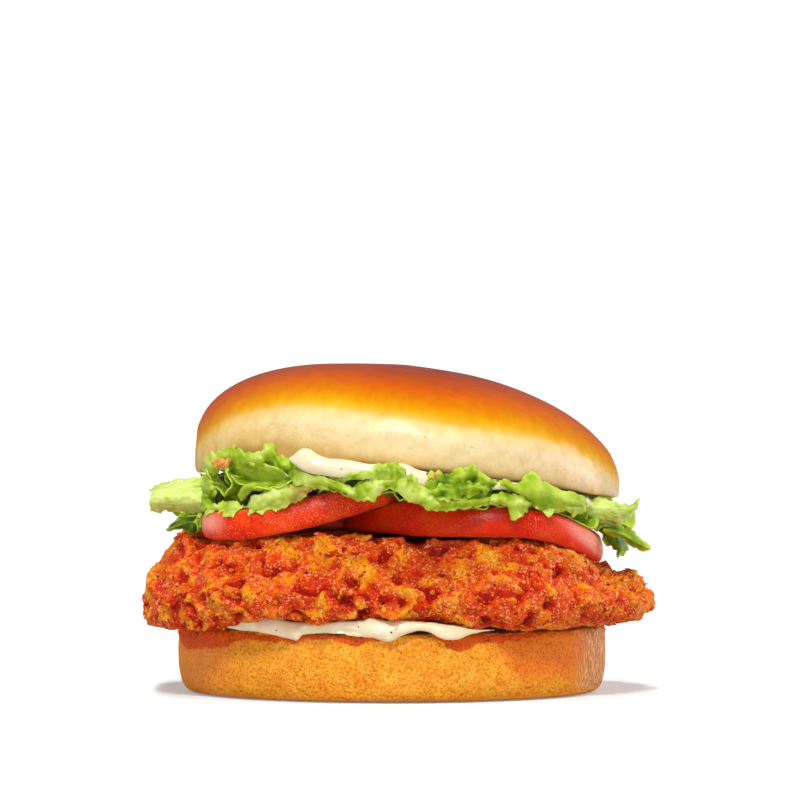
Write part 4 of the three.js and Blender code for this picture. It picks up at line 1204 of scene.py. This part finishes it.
def thickened(name, sheets, thickness, trees, slices):
    """Leaf sheets as one object of thin closed leaves, without the parts that would run through
    something else or lie under the slices."""
    points, faces, offset = [], [], 0
    for p, f, _ in sheets:
        clear = kept_clear(p, trees, thickness / 2 + LEAF_GAP)
        lost = covered(clear, slices) | (np.linalg.norm(clear - p, axis=1) > MOST_PUSH)
        points.append(clear)
        faces += [tuple(k + offset for k in face) for face in f if not lost[list(face)].any()]
        offset += len(p)
    obj = made(name, np.concatenate(points), faces)
    for key in ("deep", "margin", "rib", "brown"):
        paint(obj, **{key: np.clip(np.concatenate([values[key] for _, _, values in sheets]), 0, 1)})
    bm = bmesh.new()
    bm.from_mesh(obj.data)
    without_scraps(bm, LEAST_ISLAND)
    bm.to_mesh(obj.data)
    bm.free()
    smooth = obj.modifiers.new("relax", "SMOOTH")
    smooth.factor = 0.3
    smooth.iterations = 1
    solid = obj.modifiers.new("leaf", "SOLIDIFY")
    solid.thickness = thickness * MM
    solid.offset = 0
    return baked(obj)


def lettuce_core(material, trees):
    """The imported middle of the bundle: the CAD node, crumpled a little."""
    obj = remeshed(closed(welded("lettuce"), "lettuce_packed"), CORE_VOXEL, 8)
    p, n = positions(obj.data), normals(obj.data)
    p += n * (-0.35 + 0.35 * noise(p * (1, 1, 2), 5, 91))[:, None]
    # It keeps inside the loose leaves and under the crown.
    radius = np.hypot(p[:, 0] - AXIS_X, p[:, 1])
    p[:, :2] = (AXIS_X, 0) + (p[:, :2] - (AXIS_X, 0)) * (np.minimum(radius, CORE_REACH) / radius)[:, None]
    ceiling = seat_of(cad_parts["bun_crown"])(p[:, 0], p[:, 1]) - 0.6
    p[:, 2] = np.where(radius > 40, np.minimum(p[:, 2], ceiling), p[:, 2])
    # Behind the slices it lies right down on the fillet.
    p[:, 2] -= 2.6 * smoothstep(-n[:, 2], 0.2, 0.7) * smoothstep(p[:, 1], -6, 6)
    set_positions(obj.data, kept_clear(p, trees, CORE_GAP))
    zero = np.zeros(len(p))
    # The core: dark green, painted shade inside the bundle, with a red tint low at the front, where it shows
    # in the gap under the slices.
    paint(obj, deep=np.clip(0.85 + 0.25 * noise(p, 6, 92), 0, 1), margin=zero, rib=zero, brown=zero,
          juice=0.9 * (1 - smoothstep(p[:, 2], 45, 48)) * (1 - smoothstep(np.abs(p[:, 0] + 4), 30, 36)))
    return finished(obj, "lettuce", material)


def lettuce(neighbours, slices):
    """The core and the loose leaves, kept out of the neighbours and the slices. Returns the leaves
    at the front."""
    material = leaf_surface()
    over = [tree(o) for o in slices]
    trees = [tree(o) for o in neighbours] + over
    lettuce_core(material, trees)
    front = [front_leaf(2 + k, **leaf) for k, leaf in enumerate(FRONT_LEAVES)]
    rest = [round_leaf(*leaf, 3 + 2 * k) for k, leaf in enumerate(ROUND_LEAVES)]
    front = thickened("lettuce_front", front, FRONT_THICKNESS, trees, over)
    rest = thickened("lettuce_round", rest, ROUND_THICKNESS, trees, over)
    for leaves in (front, rest):
        finished(leaves, None, material)
    return front


# ---- Loose bits -----------------------------------------------------------------------
# Crumbs that lie on the lettuce and the sauce: x, z seen from the front, and radius.
CRUMBS = [(-42.0, 56.2, 0.8), (-41.0, 56.9, 1.1), (-39.8, 56.4, 1.0), (-39.0, 57.4, 0.6), (-42.8, 56.9, 0.6),
          (-40.6, 55.8, 0.7), (9.4, 53.8, 0.45), (10.4, 54.4, 0.55), (3.8, 53.2, 0.35), (-24.5, 51.5, 0.4)]
SPECKS = [(-0.2, 17.2, 0.22), (-8.0, 18.4, 0.16), (-27.5, 17.2, 0.18), (6.5, 17.0, 0.15), (2.0, 54.0, 0.2),
          (8.2, 54.6, 0.22), (-12.0, 55.8, 0.16)]
IN_FRONT = -90


def dropped(name, spots, hosts, material, seed):
    """Small lumps lying on whatever is nearest the front at the given spots."""
    rng = np.random.default_rng(seed)
    trees = [tree(o) for o in hosts]
    bm = bmesh.new()
    for x, z, radius in spots:
        hits = [bvh.ray_cast(Vector((x, IN_FRONT, z)), Vector((0, 1, 0)))[0] for bvh in trees]
        hits = [hit for hit in hits if hit]
        if not hits:
            continue
        at = min(hits, key=lambda hit: hit.y)
        for v in bmesh.ops.create_icosphere(bm, subdivisions=2, radius=radius)["verts"]:
            v.co = (v.co * (1 + 0.18 * rng.normal()) + at - Vector((0, 0.3 * radius, 0))) * MM
    bits = closed(bm, name)
    bits.data.shade_smooth()
    return finished(bits, None, material)


def toasted_crumb():
    s = Surface("toasted_crumb", Roughness=0.6, Specular_IOR_Level=0.1)
    tone = s.ramp(s.noise(0.8, 3, 0.7), [(0.35, (206, 120, 50)), (0.65, (246, 184, 104))])
    return s.finish(tone, None, s.bump(s.noise(0.5, 2), 0.6, 0.3))


# ---- The burger -----------------------------------------------------------------------
heel = bun_heel()
crown = bun_crown()
skin = tomato_skin()
left_slice = tomato_slice("tomato_slice_left", -1, skin)
slices = [tomato_slice("tomato_slice_right", 1, skin, left_slice), left_slice]
sauce = mayonnaise()
upper = smear("mayonnaise_upper", sauce, UPPER_BEAD, UPPER_REACH, depth=2.2, salt=97, trees=[tree(crown)])
lower = smear("mayonnaise_lower", sauce, LOWER_BEAD, LOWER_REACH, depth=2.0, salt=95, trees=[tree(heel)])
fillet = chicken_fillet([*slices, lower, heel])
pepper = loose_breading(fillet)
tomato_dew(slices)
leaves = lettuce([crown, upper, fillet], slices)
dropped("loose_crumbs", CRUMBS, [leaves, upper], toasted_crumb(), 61)
dropped("sauce_specks", SPECKS, [upper, lower], pepper, 62)

# ---- Studio ---------------------------------------------------------------------------
FLOOR_HALF = 900
WORLD_LIGHT = 0.20
WORLD_SEEN = 1.1


def studio_floor():
    """The camera sees a bright floor that takes shadows; all other rays meet a plain grey one."""
    s = Surface("studio_floor", Base_Color=(0.66, 0.66, 0.66, 1), Roughness=0.9, Specular_IOR_Level=0)
    shown = s.node("BsdfDiffuse")
    shown.inputs["Color"].default_value = (0.90, 0.92, 0.93, 1)
    glow = s.node("Emission")
    glow.inputs["Color"].default_value = (0.70, 0.88, 0.93, 1)
    glow.inputs["Strength"].default_value = 0.30
    lit = s.node("AddShader")
    s.feed(lit.inputs[0], shown.outputs[0])
    s.feed(lit.inputs[1], glow.outputs[0])
    chosen = s.node("MixShader")
    s.feed(chosen.inputs[0], s.node("LightPath").outputs["Is Camera Ray"])
    s.feed(chosen.inputs[1], s.shader.outputs[0])
    s.feed(chosen.inputs[2], lit.outputs[0])
    s.feed(s.tree.nodes["Material Output"].inputs["Surface"], chosen.outputs[0])
    corners = [(x * FLOOR_HALF, y * FLOOR_HALF, 0) for x, y in ((-1, -1), (1, -1), (1, 1), (-1, 1))]
    floor = made("floor", corners, [(0, 1, 2, 3)])
    floor.data.materials.append(s.material)


def studio_world():
    """A weak light from all sides, which the camera sees as a bright white."""
    world = bpy.context.scene.world or bpy.data.worlds.new("studio")
    bpy.context.scene.world = world
    world.use_nodes = True
    nodes, links = world.node_tree.nodes, world.node_tree.links
    nodes.clear()
    out = nodes.new("ShaderNodeOutputWorld")
    blend = nodes.new("ShaderNodeMixShader")
    path = nodes.new("ShaderNodeLightPath")
    for k, strength in enumerate((WORLD_LIGHT, WORLD_SEEN)):
        background = nodes.new("ShaderNodeBackground")
        background.inputs["Strength"].default_value = strength
        background.inputs["Color"].default_value = (1, 1, 1, 1)
        links.new(background.outputs[0], blend.inputs[k + 1])
    links.new(path.outputs["Is Camera Ray"], blend.inputs["Fac"])
    links.new(blend.outputs[0], out.inputs["Surface"])


def aimed(obj, place, target):
    """Puts a lamp or camera at a place, turned to the target."""
    obj.location = Vector(place) * MM
    obj.rotation_mode = "QUATERNION"
    obj.rotation_quaternion = (Vector(target) - Vector(place)).to_track_quat("-Z", "Y")
    return link(obj)


def sun(name, place, strength, spread, diffuse=True, glossy=True):
    """A sun that shines from a place to the burger; spread: its size in degrees."""
    light = bpy.data.lights.new(name, "SUN")
    light.energy = strength
    light.angle = math.radians(spread)
    lamp = aimed(bpy.data.objects.new(name, light), place, (0, 0, 40))
    lamp.visible_diffuse = diffuse
    lamp.visible_glossy = glossy


def panel(name, place, size, watts):
    """A lit rectangle that faces the burger, for the shine along its edges."""
    light = bpy.data.lights.new(name, "AREA")
    light.shape = "RECTANGLE"
    light.size, light.size_y = (s * MM for s in size)
    light.energy = watts
    aimed(bpy.data.objects.new(name, light), place, (0, 0, 45))


bpy.context.scene.view_settings.view_transform = "Standard"
studio_floor()
studio_world()
sun("key", (-60, -700, 750), 1.9, 12, glossy=False)
sun("overhead", (-100, -160, 1000), 1.2, 7, glossy=False)
sun("fill", (60, -1400, 160), 0.14, 25, glossy=False)
sun("low", (30, -1400, 62), 0.62, 4, glossy=False)
sun("gleam", (10, -860, 500), 5.6, 22, diffuse=False)
panel("left_edge", (-450, 190, 120), (120, 260), 0.40)
panel("right_edge", (450, 150, 120), (120, 260), 1.1)

lens = bpy.data.cameras.new("camera")
lens.lens = LENS
lens.sensor_width = SENSOR
lens.clip_end = 10
camera = bpy.data.objects.new("camera", lens)
bpy.context.scene.camera = aimed(camera, (EYE_X, -EYE_BACK, EYE_Z), (EYE_X, 0, AIM_Z))
